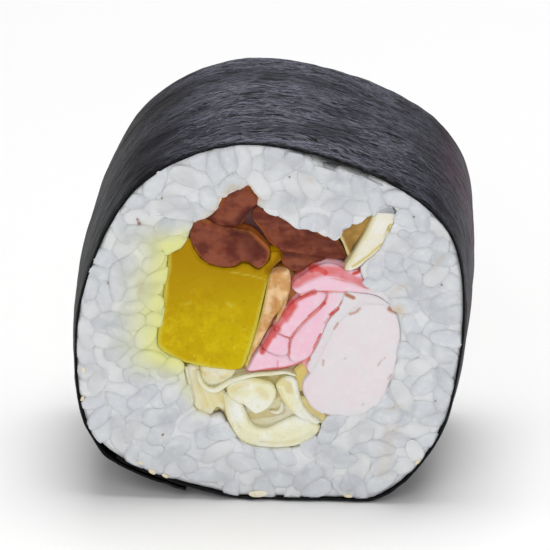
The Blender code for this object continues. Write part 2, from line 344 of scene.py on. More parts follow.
def slab(loop, front=0.3, back=0.4, step=0.25, edge=0.4, relief=None, fat=0.25, wobble=0.15, seed=1, bulge=0.0, rings=18, near=2.2):
    """A piece of filling run through the slice: a dense cap at each cut face, rounded into its sides.

    front and back say how far its caps lie behind the rice's cut faces. relief(q, side) gives a cap's height in mm,
    towards the viewer, at section points q.  The sides swell by fat from near mm behind the caps, so neighbours press
    together.
    """
    loop = even(ccw(loop), max(int(length(loop, True) / step), 12), True)
    n = len(loop)
    low, high = loop.min(0) - step, loop.max(0) + step
    gx, gz = np.meshgrid(np.arange(low[0], high[0], step), np.arange(low[1], high[1], step * 0.866), indexing="ij")
    gx = gx + 0.5 * step * (np.arange(gx.shape[1]) % 2)[None, :]
    grid = np.stack([gx.ravel(), gz.ravel()], 1)
    grid = grid + 0.12 * step * np.stack([noise(grid, 9.1, 5), noise(grid, 9.1, 6)], 1)
    gap = to_line(grid, loop)
    grid = grid[within(grid, loop) & (gap > 0.55 * step)]
    flat = np.vstack([loop, grid])
    verts, _, tris, *_ = delaunay_2d_cdt([Vector(p) for p in flat], [], [list(range(n))], 1, 1e-7)
    assert len(verts) == len(flat), "the outline crosses itself"
    tris = np.array(tris, np.int32)
    d = to_line(flat, loop)
    d[:n] = 0
    r = min(edge, max(d.max(), 0.1))
    drop = r - np.sqrt(np.maximum(r * r - (r - np.minimum(d, r)) ** 2, 0)) if r > 0 else 0 * d
    points, attributes = [], {"rim": [], "behind": []}
    total = len(flat)
    for side, end in ((-1, front), (1, back)):
        height = (relief(flat, side) if relief else 0) * smooth(d, 0, 0.3) + bulge * smooth(d, 0, 2.5)
        y = side * (SLICE / 2 - end - drop + height)
        q = sway(flat, y)
        points.append(np.stack([q[:, 0], y, q[:, 1]], 1))
        attributes["rim"].append(d)
        attributes["behind"].append(SLICE / 2 - side * y)
    side_n = normals(loop, True)
    run = np.linspace(0, length(loop, True), n, endpoint=False)
    y0, y1 = FRONT + front + r, BACK - back - r
    turn = 2 * math.pi * run / run[-1]
    for k in range(1, rings):
        # Closer together near the caps.
        t = 0.5 - 0.5 * math.cos(math.pi * k / rings)
        y = y0 + (y1 - y0) * t
        inner = smooth(min(y - y0, y1 - y), 0.12 * near, near)
        w = noise(np.stack([np.cos(turn) * 2.2, np.sin(turn) * 2.2, np.full(n, y * 0.22)], 1), 1.0, seed + 7)
        q = loop + side_n * (fat * inner + wobble * w * inner)[:, None]
        q = sway(q, np.full(n, y))
        points.append(np.stack([q[:, 0], np.full(n, y), q[:, 1]], 1))
        attributes["rim"].append(np.zeros(n))
        attributes["behind"].append(np.full(n, min(y - FRONT, BACK - y)))
    base = 2 * total
    rows = [np.arange(n)] + [base + k * n + np.arange(n) for k in range(rings - 1)] + [total + np.arange(n)]
    quads = []
    for a, b in zip(rows, rows[1:]):
        quads.append(np.stack([a, np.roll(a, -1), np.roll(b, -1), b], 1))
    faces = [np.vstack([tris, tris[:, ::-1] + total]), np.vstack(quads)]
    return np.vstack(points), faces, {k: np.concatenate(v) for k, v in attributes.items()}


def grooves(lines):
    """A relief made of grooves: each is (path, depth, half-width)."""

    def relief(q, side):
        h = np.zeros(len(q))
        for path, depth, half in lines:
            d = to_line(q, spline(path, False, 8), False)
            h -= depth * np.exp(-((d / half) ** 2))
        return h

    return relief


# ---- materials ----------------------------------------------------------------------------------------------------
def linear(rgb):
    return tuple(c / 12.92 if c <= 0.04045 else ((c + 0.055) / 1.055) ** 2.4 for c in (v / 255 for v in rgb))


class Finish:
    """A procedural material. Colours are given as sRGB, 0 to 255."""

    def __init__(self, name, **sockets):
        self.material = bpy.data.materials.new(name)
        self.material.use_nodes = True
        self.tree = self.material.node_tree
        self.shader = self.tree.nodes["Principled BSDF"]
        for key, value in sockets.items():
            self.shader.inputs[key.replace("_", " ")].default_value = value
        self.place = self.node("ShaderNodeTexCoord").outputs["Object"]

    def node(self, kind, **settings):
        made = self.tree.nodes.new(kind)
        for key, value in settings.items():
            setattr(made, key, value)
        return made

    def feed(self, socket, value):
        if isinstance(value, bpy.types.NodeSocket):
            self.tree.links.new(value, socket)
        else:
            socket.default_value = value

    def mapped(self, scale, source=None, rotation=(0, 0, 0)):
        made = self.node("ShaderNodeMapping")
        self.feed(made.inputs["Vector"], source or self.place)
        made.inputs["Scale"].default_value = scale if isinstance(scale, tuple) else (scale,) * 3
        made.inputs["Rotation"].default_value = rotation
        return made.outputs["Vector"]

    def noise(self, per_mm, detail=2.0, rough=0.5, source=None, distortion=0.0):
        made = self.node("ShaderNodeTexNoise")
        self.feed(made.inputs["Vector"], self.mapped(1000.0) if source is None else source)
        made.inputs["Scale"].default_value = per_mm
        made.inputs["Detail"].default_value = detail
        made.inputs["Roughness"].default_value = rough
        made.inputs["Distortion"].default_value = distortion
        return made.outputs["Fac"]

    def voronoi(self, per_mm, feature="F1", source=None, smoothness=None):
        made = self.node("ShaderNodeTexVoronoi", feature=feature)
        self.feed(made.inputs["Vector"], self.mapped(1000.0) if source is None else source)
        made.inputs["Scale"].default_value = per_mm
        return made

    def attribute(self, name):
        return self.node("ShaderNodeAttribute", attribute_name=name).outputs["Fac"]

    def math(self, kind, a, b=0.0, clamp=False):
        made = self.node("ShaderNodeMath", operation=kind, use_clamp=clamp)
        self.feed(made.inputs[0], a)
        self.feed(made.inputs[1], b)
        return made.outputs[0]

    def spread(self, value, low, high, to_low=0.0, to_high=1.0):
        """value from low..high to to_low..to_high, smoothly and clamped."""
        made = self.node("ShaderNodeMapRange", interpolation_type="SMOOTHSTEP")
        for k, v in enumerate((value, low, high, to_low, to_high)):
            self.feed(made.inputs[k], v)
        return made.outputs[0]

    def blend(self, share, a, b, kind="MIX"):
        made = self.node("ShaderNodeMix", data_type="RGBA", blend_type=kind)
        self.feed(made.inputs["Factor"], share)
        for socket, colour in ((made.inputs["A"], a), (made.inputs["B"], b)):
            self.feed(socket, colour if isinstance(colour, bpy.types.NodeSocket) else (*linear(colour), 1))
        return made.outputs["Result"]

    def colour(self, value):
        self.feed(self.shader.inputs["Base Color"], value)

    def roughness(self, value):
        self.feed(self.shader.inputs["Roughness"], value)

    def bump(self, height, distance_mm, strength=1.0):
        made = self.node("ShaderNodeBump")
        made.inputs["Distance"].default_value = distance_mm * 0.001
        made.inputs["Strength"].default_value = strength
        self.feed(made.inputs["Height"], height)
        self.feed(self.shader.inputs["Normal"], made.outputs["Normal"])


def moist(name, scale_mm=2.0, weight=0.15, radius=(1.0, 0.8, 0.6), **sockets):
    settings = dict(IOR=1.38, Subsurface_Weight=weight, Subsurface_Scale=scale_mm * 0.001, Subsurface_Radius=radius)
    settings.update(sockets)
    return Finish(name, **settings)


def rice_finish():
    f = moist("rice", 2.0, 0.2, (1.0, 1.0, 1.0))
    tone = f.attribute("tone")
    soft = f.noise(0.35, 2)
    base = f.blend(f.spread(soft, 0.3, 0.7), (212, 215, 222), (222, 226, 230))
    base = f.blend(f.spread(tone, 0.35, 1.0, 0, 0.8), base, (236, 237, 238))
    # Painted light: rice further behind the cut face is painted lighter, against the shade in the gaps between grains.
    base = f.blend(f.spread(f.attribute("behind"), 0.12, 0.45, 0, 0.6), base, (248, 248, 249))
    chalk = f.spread(f.noise(1.3, 2), 0.45, 0.75)
    base = f.blend(f.math("MULTIPLY", chalk, 0.35), base, (246, 245, 242))
    base = f.blend(f.attribute("stain"), base, (236, 238, 146))
    base = f.blend(f.attribute("tan"), base, (214, 186, 140))
    f.colour(base)
    f.roughness(f.spread(f.noise(0.8, 2), 0.3, 0.7, 0.3, 0.5))
    f.bump(f.noise(2.2, 2), 0.05, 0.25)
    return f.material


def nori_finish():
    f = Finish("nori", IOR=1.45, Specular_IOR_Level=0.14)
    uv = f.node("ShaderNodeUVMap", uv_map="sheet").outputs["UV"]  # in millimetres: round the roll, and along it
    # The weave of fine fibres: streaks a few millimetres long round the roll, bent a little and crossing.
    bend = f.node("ShaderNodeTexNoise")
    f.feed(bend.inputs["Vector"], f.mapped((0.11, 0.14, 1.0), uv))
    bend.inputs["Scale"].default_value = 1.0
    bend.inputs["Detail"].default_value = 2.0
    moved = f.node("ShaderNodeVectorMath", operation="MULTIPLY_ADD")
    f.feed(moved.inputs[0], bend.outputs["Color"])
    moved.inputs[1].default_value = (0.0, 3.6, 0.0)
    f.feed(moved.inputs[2], uv)
    streaks, hairs = [], []
    for angle, along, across in ((0.24, 0.2, 1.7), (-0.2, 0.24, 2.2), (0.05, 0.3, 3.2)):
        v = f.mapped((along, across, 1.0), f.mapped(1.0, moved.outputs[0], (0, 0, angle)))
        n = f.node("ShaderNodeTexNoise")
        f.feed(n.inputs["Vector"], v)
        n.inputs["Scale"].default_value = 1.0
        n.inputs["Detail"].default_value = 3.0
        n.inputs["Roughness"].default_value = 0.55
        n.inputs["Distortion"].default_value = 0.3
        streaks.append(n.outputs["Fac"])
        off = f.math("ABSOLUTE", f.math("SUBTRACT", n.outputs["Fac"], 0.52))
        hairs.append(f.spread(off, 0.0, 0.035, 1, 0))
    weave = f.math("MULTIPLY", f.math("ADD", f.math("ADD", streaks[0], streaks[1]), streaks[2]), 0.3333)
    hair = f.math("MAXIMUM", f.math("MAXIMUM", hairs[0], hairs[1]), f.math("MULTIPLY", hairs[2], 0.7))
    base = f.blend(f.spread(weave, 0.44, 0.56), (6, 6, 9), (48, 48, 57))
    patch = f.noise(1.0, 3, 0.6, f.mapped((0.1, 0.2, 1.0), moved.outputs[0]))
    base = f.blend(f.math("MULTIPLY", hair, f.spread(patch, 0.36, 0.64, 0.85, 0.45)), base, (122, 123, 137))
    base = f.blend(f.spread(patch, 0.5, 0.68, 0, 0.45), base, (10, 10, 13))
    base = f.blend(f.math("MULTIPLY", f.attribute("green"), f.spread(streaks[0], 0.4, 0.62)), base, (50, 66, 56))
    base = f.blend(f.math("MULTIPLY", f.attribute("purple"), f.spread(streaks[1], 0.4, 0.6)), base, (126, 62, 94))
    # Painted shade: the free sides are painted duller and darker, most of all low down on the left, as if shaded by the
    # slices beside it.
    base = f.blend(f.attribute("low"), base, (6, 5, 8))
    # Painted shade: the inner side of the sheet is painted near-black, as it is seen only in shadow where the rice
    # stands off it; the cut edges are painted near-black as well.
    base = f.blend(f.attribute("cut"), base, (7, 7, 8))
    f.colour(base)
    f.roughness(f.spread(weave, 0.38, 0.66, 0.42, 0.66))
    f.bump(f.math("ADD", weave, f.math("MULTIPLY", hair, 0.12)), 0.13, 0.7)
    return f.material


def radish_finish():
    f = moist("pickled_radish", 2.0, 0.2, (1.0, 0.8, 0.05), Specular_IOR_Level=0.12)
    base = f.blend(f.spread(f.noise(0.14, 3), 0.35, 0.65), (210, 184, 0), (202, 170, 0))
    fibre = f.spread(f.noise(0.55, 5, 0.7), 0.46, 0.64)
    base = f.blend(f.math("MULTIPLY", fibre, 0.55), base, (228, 204, 20))
    base = f.blend(f.spread(f.noise(1.3, 4, 0.65), 0.52, 0.68, 0, 0.45), base, (182, 144, 0))
    base = f.blend(f.spread(f.noise(2.4, 2), 0.66, 0.74, 0, 0.4), base, (236, 222, 90))
    base = f.blend(f.attribute("shade"), base, (180, 140, 0))
    # Painted shadow: the top right corner is painted dark amber, where the gourd strips shade it.
    base = f.blend(f.attribute("dim"), base, (140, 92, 0))
    base = f.blend(f.attribute("pale"), base, (220, 208, 84))
    f.colour(base)
    f.roughness(f.spread(f.noise(0.5, 2), 0.3, 0.7, 0.25, 0.45))
    f.bump(f.noise(1.3, 4, 0.6), 0.09, 0.5)
    return f.material


def gourd_finish():
    f = moist("gourd_strip", 1.5, 0.15, (1.0, 0.5, 0.3), Specular_IOR_Level=0.35)
    base = f.blend(f.spread(f.noise(0.4, 3), 0.4, 0.6), (104, 40, 24), (140, 72, 48))
    fibre = f.noise(1.0, 3, 0.6, f.mapped((550.0, 550.0, 1500.0), None, (0, 0.4, 0)))
    base = f.blend(f.spread(fibre, 0.46, 0.7, 0, 0.4), base, (158, 88, 60))
    base = f.blend(f.spread(fibre, 0.48, 0.32, 0, 0.35), base, (88, 32, 20))
    # Painted shade: darker along the folds and where the strips meet and tuck under one another, and across the right
    # strip's upper right.
    base = f.blend(f.attribute("dark"), base, (78, 18, 10))
    base = f.blend(f.math("MULTIPLY", f.spread(f.attribute("rim"), 0.5, 0.0, 0, 1), f.spread(f.noise(0.35, 2), 0.38, 0.6, 0.1, 0.85)), base, (190, 112, 48))
    f.colour(base)
    f.roughness(f.spread(f.noise(0.6, 2), 0.3, 0.7, 0.3, 0.55))
    f.bump(f.math("ADD", f.noise(1.2, 3), fibre), 0.1, 0.6)
    return f.material


def crab_finish():
    f = moist("crab_stick", 2.0, 0.2, (1.0, 0.6, 0.6))
    base = f.blend(f.attribute("pink"), (236, 230, 233), (255, 204, 222))
    fibre = f.spread(f.noise(1.1, 3, 0.6), 0.45, 0.75)
    base = f.blend(f.math("MULTIPLY", fibre, 0.4), base, (248, 236, 238))
    base = f.blend(f.math("MULTIPLY", f.attribute("red"), f.spread(f.noise(0.9, 2), 0.3, 0.6, 0.8, 1.0)), base, (220, 58, 42))
    base = f.blend(f.attribute("tan"), base, (190, 130, 100))
    # Painted shade: darker red the further behind the cut face, in the gaps between the sheets.
    base = f.blend(f.spread(f.attribute("behind"), 1.0, 3.0, 0, 0.7), base, (196, 96, 84))
    f.colour(base)
    f.roughness(f.spread(f.noise(0.6, 2), 0.3, 0.7, 0.3, 0.5))
    f.bump(f.noise(1.8, 3), 0.05, 0.3)
    return f.material


def cabbage_finish(name, pale, mid, deep):
    f = moist(name, 1.5, 0.2, (1.0, 1.0, 0.5))
    base = f.blend(f.spread(f.noise(0.3, 3), 0.35, 0.65), mid, pale)
    # The warm tint: partly the cabbage's own yellow, partly painted shade in its hollows and creases.
    base = f.blend(f.attribute("warm"), base, (228, 204, 112))
    base = f.blend(f.spread(f.attribute("rim"), 0.3, 0.0, 0, 0.4), base, (232, 222, 150))
    vein = f.spread(f.math("ABSOLUTE", f.math("SUBTRACT", f.noise(0.9, 1, 0.5), 0.5)), 0.0, 0.035, 0.28, 0)
    base = f.blend(vein, base, (226, 214, 140))
    # Painted shade: darker and more olive the further behind the cut face, for the shade in the hollows.
    base = f.blend(f.spread(f.attribute("behind"), 0.8, 2.4, 0, 1), base, deep)
    f.colour(base)
    f.roughness(f.spread(f.noise(0.5, 2), 0.3, 0.7, 0.22, 0.45))
    f.bump(f.noise(1.0, 3), 0.06, 0.3)
    return f.material


def plain_finish(name, dark, light, rough=(0.4, 0.6), per_mm=0.8):
    f = Finish(name)
    f.colour(f.blend(f.spread(f.noise(per_mm, 3), 0.35, 0.65), dark, light))
    f.roughness(f.spread(f.noise(per_mm * 1.7, 2), 0.3, 0.7, *rough))
    return f.material


# ---- the filling's outlines on the shown cut face -------------------------------------------------------------------
RADISH = [(-11.7, 32.4), (-11.95, 29.8), (-12.15, 28.6), (-12.6, 24.8), (-13.1, 21.6), (-13.2, 19.9), (-12.6, 19.1), (-11.35, 18.4), (-10.0, 17.75), (-8.6, 17.35), (-6.9, 17.05), (-4.5, 16.85), (-3.4, 16.95), (-2.9, 17.6), (-2.1, 19.9), (-1.45, 22.4), (-0.5, 26.9), (-0.1, 28.8), (0.5, 30.2), (1.5, 31.2), (1.2, 32.2), (0.3, 32.2), (0.1, 31.0), (-1.0, 29.9), (-1.5, 29.85), (-2.4, 30.5), (-3.1, 30.6), (-3.9, 30.1), (-5.3, 29.95), (-6.95, 30.3), (-8.1, 31.2), (-8.9, 32.5), (-9.2, 33.5), (-9.5, 33.9), (-9.95, 33.2), (-10.4, 32.5), (-11.0, 32.05)]
GOURD_UPPER = [(-4.2, 40.5), (-3.3, 40.3), (-2.2, 40.5), (-1.95, 39.6), (-1.1, 39.0), (-0.95, 38.3), (-1.6, 37.5), (-2.1, 37.0), (-2.9, 35.7), (-3.5, 35.0), (-4.9, 34.7), (-6.2, 34.9), (-7.1, 35.6), (-7.5, 36.3), (-6.8, 36.9), (-5.85, 37.9), (-5.3, 39.0), (-4.75, 40.0)]
GOURD_LOWER = [(-8.9, 35.4), (-8.1, 36.3), (-7.1, 36.0), (-5.8, 35.3), (-3.7, 35.0), (-2.0, 34.6), (-0.7, 33.4), (0.1, 32.3), (-0.1, 31.0), (-1.0, 30.0), (-1.5, 30.0), (-2.4, 30.7), (-3.1, 30.75), (-3.9, 30.25), (-5.3, 30.05), (-6.95, 30.4), (-8.1, 31.3), (-8.9, 32.7), (-9.25, 33.9)]
GOURD_RIGHT = [(-1.55, 37.4), (-0.9, 37.6), (-0.2, 37.0), (0.9, 36.65), (1.8, 36.8), (2.5, 36.2), (3.35, 35.5), (4.8, 35.4), (5.6, 34.7), (6.4, 34.2), (7.7, 34.1), (8.35, 33.1), (9.0, 31.8), (9.0, 31.1), (8.3, 30.95), (7.1, 31.0), (5.95, 30.6), (5.0, 30.3), (3.9, 29.4), (3.1, 29.3), (2.0, 29.75), (1.45, 30.7), (1.35, 31.5), (0.8, 32.3), (-0.1, 33.2), (-0.8, 34.5), (-1.7, 35.8), (-1.9, 36.6)]
TAN_STRIP = [(0.2, 29.6), (1.0, 30.1), (2.2, 29.9), (2.55, 28.6), (2.5, 27.2), (2.0, 25.7), (1.3, 24.4), (0.6, 23.7), (0.05, 22.5), (-0.6, 21.2), (-1.2, 19.9), (-1.95, 18.7), (-2.6, 17.2), (-2.9, 17.1), (-2.4, 18.9), (-1.75, 21.2), (-1.05, 23.5), (-0.55, 25.8), (-0.2, 27.8)]
CRAB_TOP = [(2.75, 27.7), (2.9, 28.3), (3.9, 29.15), (5.1, 30.1), (5.9, 30.5), (6.9, 30.8), (8.1, 30.55), (8.9, 30.1), (9.7, 29.95), (10.6, 30.0), (10.9, 29.2), (11.4, 28.4), (12.8, 27.8), (13.9, 26.95), (14.6, 25.75), (14.2, 25.55), (13.2, 26.45), (12.0, 26.9), (10.8, 27.05), (9.0, 27.15), (7.1, 27.25), (5.2, 27.15), (4.2, 26.9), (3.3, 26.9)]
CRAB_LEFT = [(4.9, 27.1), (5.9, 27.2), (6.7, 26.9), (6.3, 25.9), (5.75, 25.1), (4.8, 24.1), (3.95, 23.2), (3.2, 22.2), (2.6, 21.3), (1.7, 21.5), (0.7, 22.2), (1.3, 23.6), (2.1, 24.9), (3.2, 26.1), (4.2, 26.8)]
CRAB_MIDDLE = [(6.9, 27.0), (8.9, 27.0), (8.4, 25.8), (7.7, 24.7), (7.0, 23.7), (6.45, 22.4), (6.05, 21.2), (5.4, 20.0), (4.7, 18.8), (3.9, 18.1), (2.6, 18.2), (2.4, 19.6), (2.75, 21.1), (3.4, 22.1), (4.1, 23.0), (5.0, 23.95), (5.95, 25.0), (6.5, 25.9)]
CRAB_END = [(0.5, 22.1), (1.6, 21.45), (2.45, 21.0), (2.35, 19.6), (2.0, 19.0), (1.0, 18.9), (0.0, 19.3), (-0.7, 19.9), (-0.2, 21.0)]
CRAB_BOTTOM = [(-2.5, 16.75), (-0.9, 16.9), (1.0, 17.1), (2.9, 17.6), (4.5, 18.3), (3.9, 18.25), (2.5, 18.3), (2.1, 18.95), (1.0, 18.85), (0.0, 19.2), (-0.9, 19.6), (-1.6, 18.9), (-2.1, 17.8)]
CRAB_RIGHT = [(9.0, 27.2), (10.8, 27.15), (12.0, 27.0), (13.2, 26.5), (14.3, 25.5), (13.9, 25.0), (12.3, 25.65), (10.9, 25.55), (9.8, 24.85), (8.85, 23.75), (7.95, 22.55), (7.25, 21.05), (6.55, 19.55), (5.95, 18.15), (5.2, 16.5), (4.5, 17.3), (4.8, 18.6), (5.5, 20.0), (6.1, 21.3), (6.55, 22.6), (7.1, 23.7), (7.8, 24.7), (8.5, 25.8)]
CRAB_CORE = [(14.0, 25.6), (14.9, 24.6), (15.4, 22.3), (15.2, 20.0), (14.7, 17.2), (14.0, 15.2), (13.2, 13.2), (11.6, 11.7), (9.6, 11.2), (7.5, 11.2), (5.4, 12.0), (4.2, 13.8), (4.0, 15.3), (4.9, 16.9), (5.6, 18.4), (6.2, 19.8), (6.95, 21.3), (7.65, 22.8), (8.6, 24.05), (9.7, 25.2), (11.0, 25.95), (12.4, 26.05)]
LEAF = [(8.2, 35.1), (8.7, 35.8), (9.3, 35.9), (10.3, 35.75), (11.4, 36.5), (12.4, 37.7), (12.7, 38.3), (12.1, 36.9), (11.4, 35.2), (10.6, 33.8), (9.9, 32.7), (9.35, 31.4), (8.7, 33.1), (8.1, 34.3)]
RIB = [(12.8, 38.55), (14.2, 38.75), (15.15, 39.2), (15.45, 38.9), (15.35, 38.0), (14.9, 37.1), (14.4, 35.9), (13.8, 34.5), (12.8, 32.6), (11.4, 31.3), (10.3, 30.3), (9.3, 29.95), (8.85, 30.2), (9.0, 30.7), (9.6, 31.7), (10.25, 32.95), (11.5, 35.4), (12.15, 37.0)]
CABBAGE = [(-10.0, 17.6), (-9.9, 16.0), (-9.4, 14.0), (-8.9, 11.9), (-7.8, 10.8), (-6.7, 10.6), (-5.8, 11.0), (-5.2, 10.0), (-4.3, 8.4), (-3.2, 7.25), (-1.7, 6.7), (1.1, 6.5), (3.8, 7.05), (5.6, 8.2), (6.2, 9.7), (7.0, 10.8), (5.9, 12.0), (4.5, 13.2), (3.9, 14.6), (4.4, 16.2), (4.7, 17.9), (3.0, 17.5), (1.0, 17.0), (-0.9, 16.8), (-3.4, 16.7), (-6.9, 16.9), (-8.9, 17.4)]

FILLINGS = [outline(p, sharp) for p, sharp in ((RADISH, True), (GOURD_UPPER, False), (GOURD_LOWER, False), (GOURD_RIGHT, False), (TAN_STRIP, False), (CRAB_TOP, False), (CRAB_LEFT, False), (CRAB_MIDDLE, False), (CRAB_END, False), (CRAB_BOTTOM, False), (CRAB_RIGHT, False), (CRAB_CORE, False), (LEAF, False), (RIB, False), (CABBAGE, False))]
INSIDE = Field(FILLINGS, 0.9)  # negative in the filling
AROUND = Field([ROLL])  # negative inside the nori
RADISH_LOOP = FILLINGS[0]


# ---- the nori -----------------------------------------------------------------------------------------------------
def make_nori():
    """The sheet: fibrous, a little wrinkled, with ragged cut edges, lapping over its own start."""
    rows, columns = 96, 600
    t = np.linspace(-1, 1, rows)
    ys = (t + 0.18 * np.sin(math.pi * t) / math.pi) * SLICE / 2  # closer together at the cut edges
    edge0 = ROLL
    start = int(np.argmin(np.hypot(*(edge0 - LAP_START).T)))
    edge0 = np.roll(edge0, -start, 0)
    run = np.concatenate([[0], np.cumsum(np.linalg.norm(np.diff(np.vstack([edge0, edge0[:1]]), axis=0), axis=1))])
    total = run[-1]
    at = np.linspace(0, total + LAP, columns)
    place = at % total
    inner, outer, uv = [], [], []
    for row, y in enumerate(ys):
        edge = barrel(edge0, y)
        side = normals(edge, True)
        point = np.stack([np.interp(place, run, np.append(edge[:, k], edge[0, k])) for k in (0, 1)], 1)
        out = np.stack([np.interp(place, run, np.append(side[:, k], side[0, k])) for k in (0, 1)], 1)
        out /= np.linalg.norm(out, axis=1)[:, None]
        climb = np.clip((at - (total - 4.0)) / 3.4, 0, 1)
        lift = GAP - 0.02 + (NORI + 0.04) * climb * climb * (3 - 2 * climb)
        # Cut edges: nicked and pressed in a little by the knife.
        rag = 0.22 * noise(np.stack([at * 0.9, np.zeros(columns)], 1), 1.0, 11 + (y > 0), 3)
        rag += 0.35 * np.minimum(0, noise(np.stack([at * 0.35, np.full(columns, 5.0)], 1), 1.0, 31 + (y > 0)) + 0.55)
        yy = y + np.sign(y) * rag * smooth(abs(y), SLICE / 2 - 1.6, SLICE / 2)
        # Relief: soft wrinkles along the roll's length and fine ridges round it.
        p3 = np.stack([at, np.full(columns, y)], 1)
        bend = 1.2 * noise(p3 * (0.12, 0.12), 1.0, 3)
        ridge = noise(np.stack([at * 0.16, y * 1.5 + bend + 0.2 * at], 1), 1.0, 17, 2)
        cross = noise(np.stack([at * 0.22, y * 1.9 - bend - 0.24 * at], 1), 1.0, 23, 2)
        wave = 0.13 * noise(p3 * (0.16, 0.3), 1.0, 41, 2)
        relief = 0.055 * ridge + 0.045 * cross + wave
        ease = smooth(point[:, 1] - out[:, 1] * 0, 1.2, 4.0)  # the foot stays flat on the floor
        relief = relief * ease
        thick = 0.42 * (1 - 0.35 * smooth(abs(y), SLICE / 2 - 0.8, SLICE / 2))
        a = point + out * (lift + 0.35 * relief)[:, None]
        b = point + out * (lift + thick + relief)[:, None]
        b[:, 1] = np.maximum(b[:, 1], 0.03)
        inner.append(np.stack([a[:, 0], yy, a[:, 1]], 1))
        outer.append(np.stack([b[:, 0], yy, b[:, 1]], 1))
        uv.append(np.stack([at, np.full(columns, y)], 1))
    grid = np.arange(rows * columns).reshape(rows, columns)
    a, b, c, d = grid[:-1, :-1], grid[:-1, 1:], grid[1:, 1:], grid[1:, :-1]
    skin = np.stack([a, b, c, d], -1).reshape(-1, 4)
    half = rows * columns
    faces = [skin[:, ::-1] + 0, skin + half]
    for line, flip in ((grid[0], False), (grid[-1], True), (grid[:, 0], True), (grid[:, -1], False)):
        wall = np.stack([line[:-1], line[1:], line[1:] + half, line[:-1] + half], 1)
        faces.append(wall[:, ::-1] if flip else wall)
    points = np.vstack([np.vstack(inner), np.vstack(outer)])
    uvs = np.vstack([np.vstack(uv)] * 2)
    x, z, y = points[:, 0], points[:, 2], points[:, 1]
    purple = smooth(x, 17.5, 21.5) * smooth(z, 12, 22) * smooth(44 - z, 0, 6) * smooth(noise(uvs * (0.06, 0.09), 1.0, 51, 2) + 0.45, 0, 1.4)
    green = smooth(-x, 13, 19) * smooth(z, 16, 26) * smooth(noise(uvs * (0.08, 0.1), 1.0, 52) + 0.2, 0, 0.8)
    # Painted shade: how dark the sides are painted, the left most, and more low down.
    low = np.maximum(smooth(-x, 6.0, 17.0) * (0.82 + 0.15 * smooth(34 - z, 0, 14)), smooth(x, 10.0, 20.0) * (0.55 + 0.25 * smooth(24 - z, 0, 12)))
    low = np.clip(low * (1 + 0.35 * noise(uvs * (0.12, 0.2), 1.0, 53, 2)), 0, 0.9)
    # Painted shade: the inner side, against the rice, is painted near-black; the cut edges are painted near-black as
    # well.
    cut = smooth(abs(y), SLICE / 2 - 0.35, SLICE / 2 - 0.1) * 0.8
    under = np.concatenate([np.ones(half), np.zeros(half)])
    return mesh_piece("nori_sheet", points, [np.vstack(faces)[:, ::-1]], {"purple": purple * 0.6, "green": green * 0.7, "low": low, "cut": np.maximum(cut, under)}, uvs, nori_finish(), "nori", ["nori"])


# ---- the rice -----------------------------------------------------------------------------------------------------
RICE = rice_finish()
CORE_BACK = 0.4  # how far the core lies behind the cut faces


def rice_tints(points):
    """Stain beside the radish and the cabbage, by distance from them."""
    q = sway(points[:, [0, 2]], points[:, 1], True)
    d = to_line(q, even(RADISH_LOOP, 160, True))
    left = smooth(-q[:, 0], 5.5, 10.5) * smooth(37.0 - q[:, 1], 0, 4) * smooth(q[:, 1] - 13.0, 0, 5)
    cloud = 0.5 + 0.5 * noise(q, 0.45, 71, 2)
    stain = 0.92 * np.exp(-((np.maximum(d - 0.3, 0) / (2.0 + 1.7 * cloud)) ** 1.6)) * left
    below = np.exp(-((to_line(q, np.array([(-10.4, 17.0), (-9.6, 14.4), (-8.2, 12.2)]), False) / 1.0) ** 2)) * 0.45
    brown = np.exp(-((to_line(q, even(FILLINGS[1], 60, True)) / 0.35) ** 2)) * 0.5
    front = points[:, 1] < 0
    for path, strength, half in (([(15.0, 25.4), (15.4, 24.9)], 0.8, 0.5), ([(14.3, 9.6), (14.0, 7.0), (13.4, 4.2)], 0.22, 0.8), ([(9.9, 30.5), (12.9, 33.0)], 0.3, 0.35), ([(14.5, 27.2), (16.0, 28.6)], 0.3, 0.3), ([(19.4, 30.6), (20.4, 32.4)], 0.35, 0.2), ([(14.2, 12.2), (15.6, 13.0)], 0.3, 0.22), ([(4.6, 41.6), (5.0, 41.4)], 0.35, 0.3), ([(-15.3, 28.1), (-15.0, 27.0)], 0.4, 0.35), ([(-14.1, 29.4), (-13.6, 28.9)], 0.25, 0.3)):
        brown = np.maximum(brown, np.exp(-((to_line(q, np.array(path), False) / half) ** 2)) * strength * front)
    return {"stain": np.clip(np.maximum(stain, below), 0, 1), "tan": brown, "behind": SLICE / 2 - np.abs(points[:, 1])}


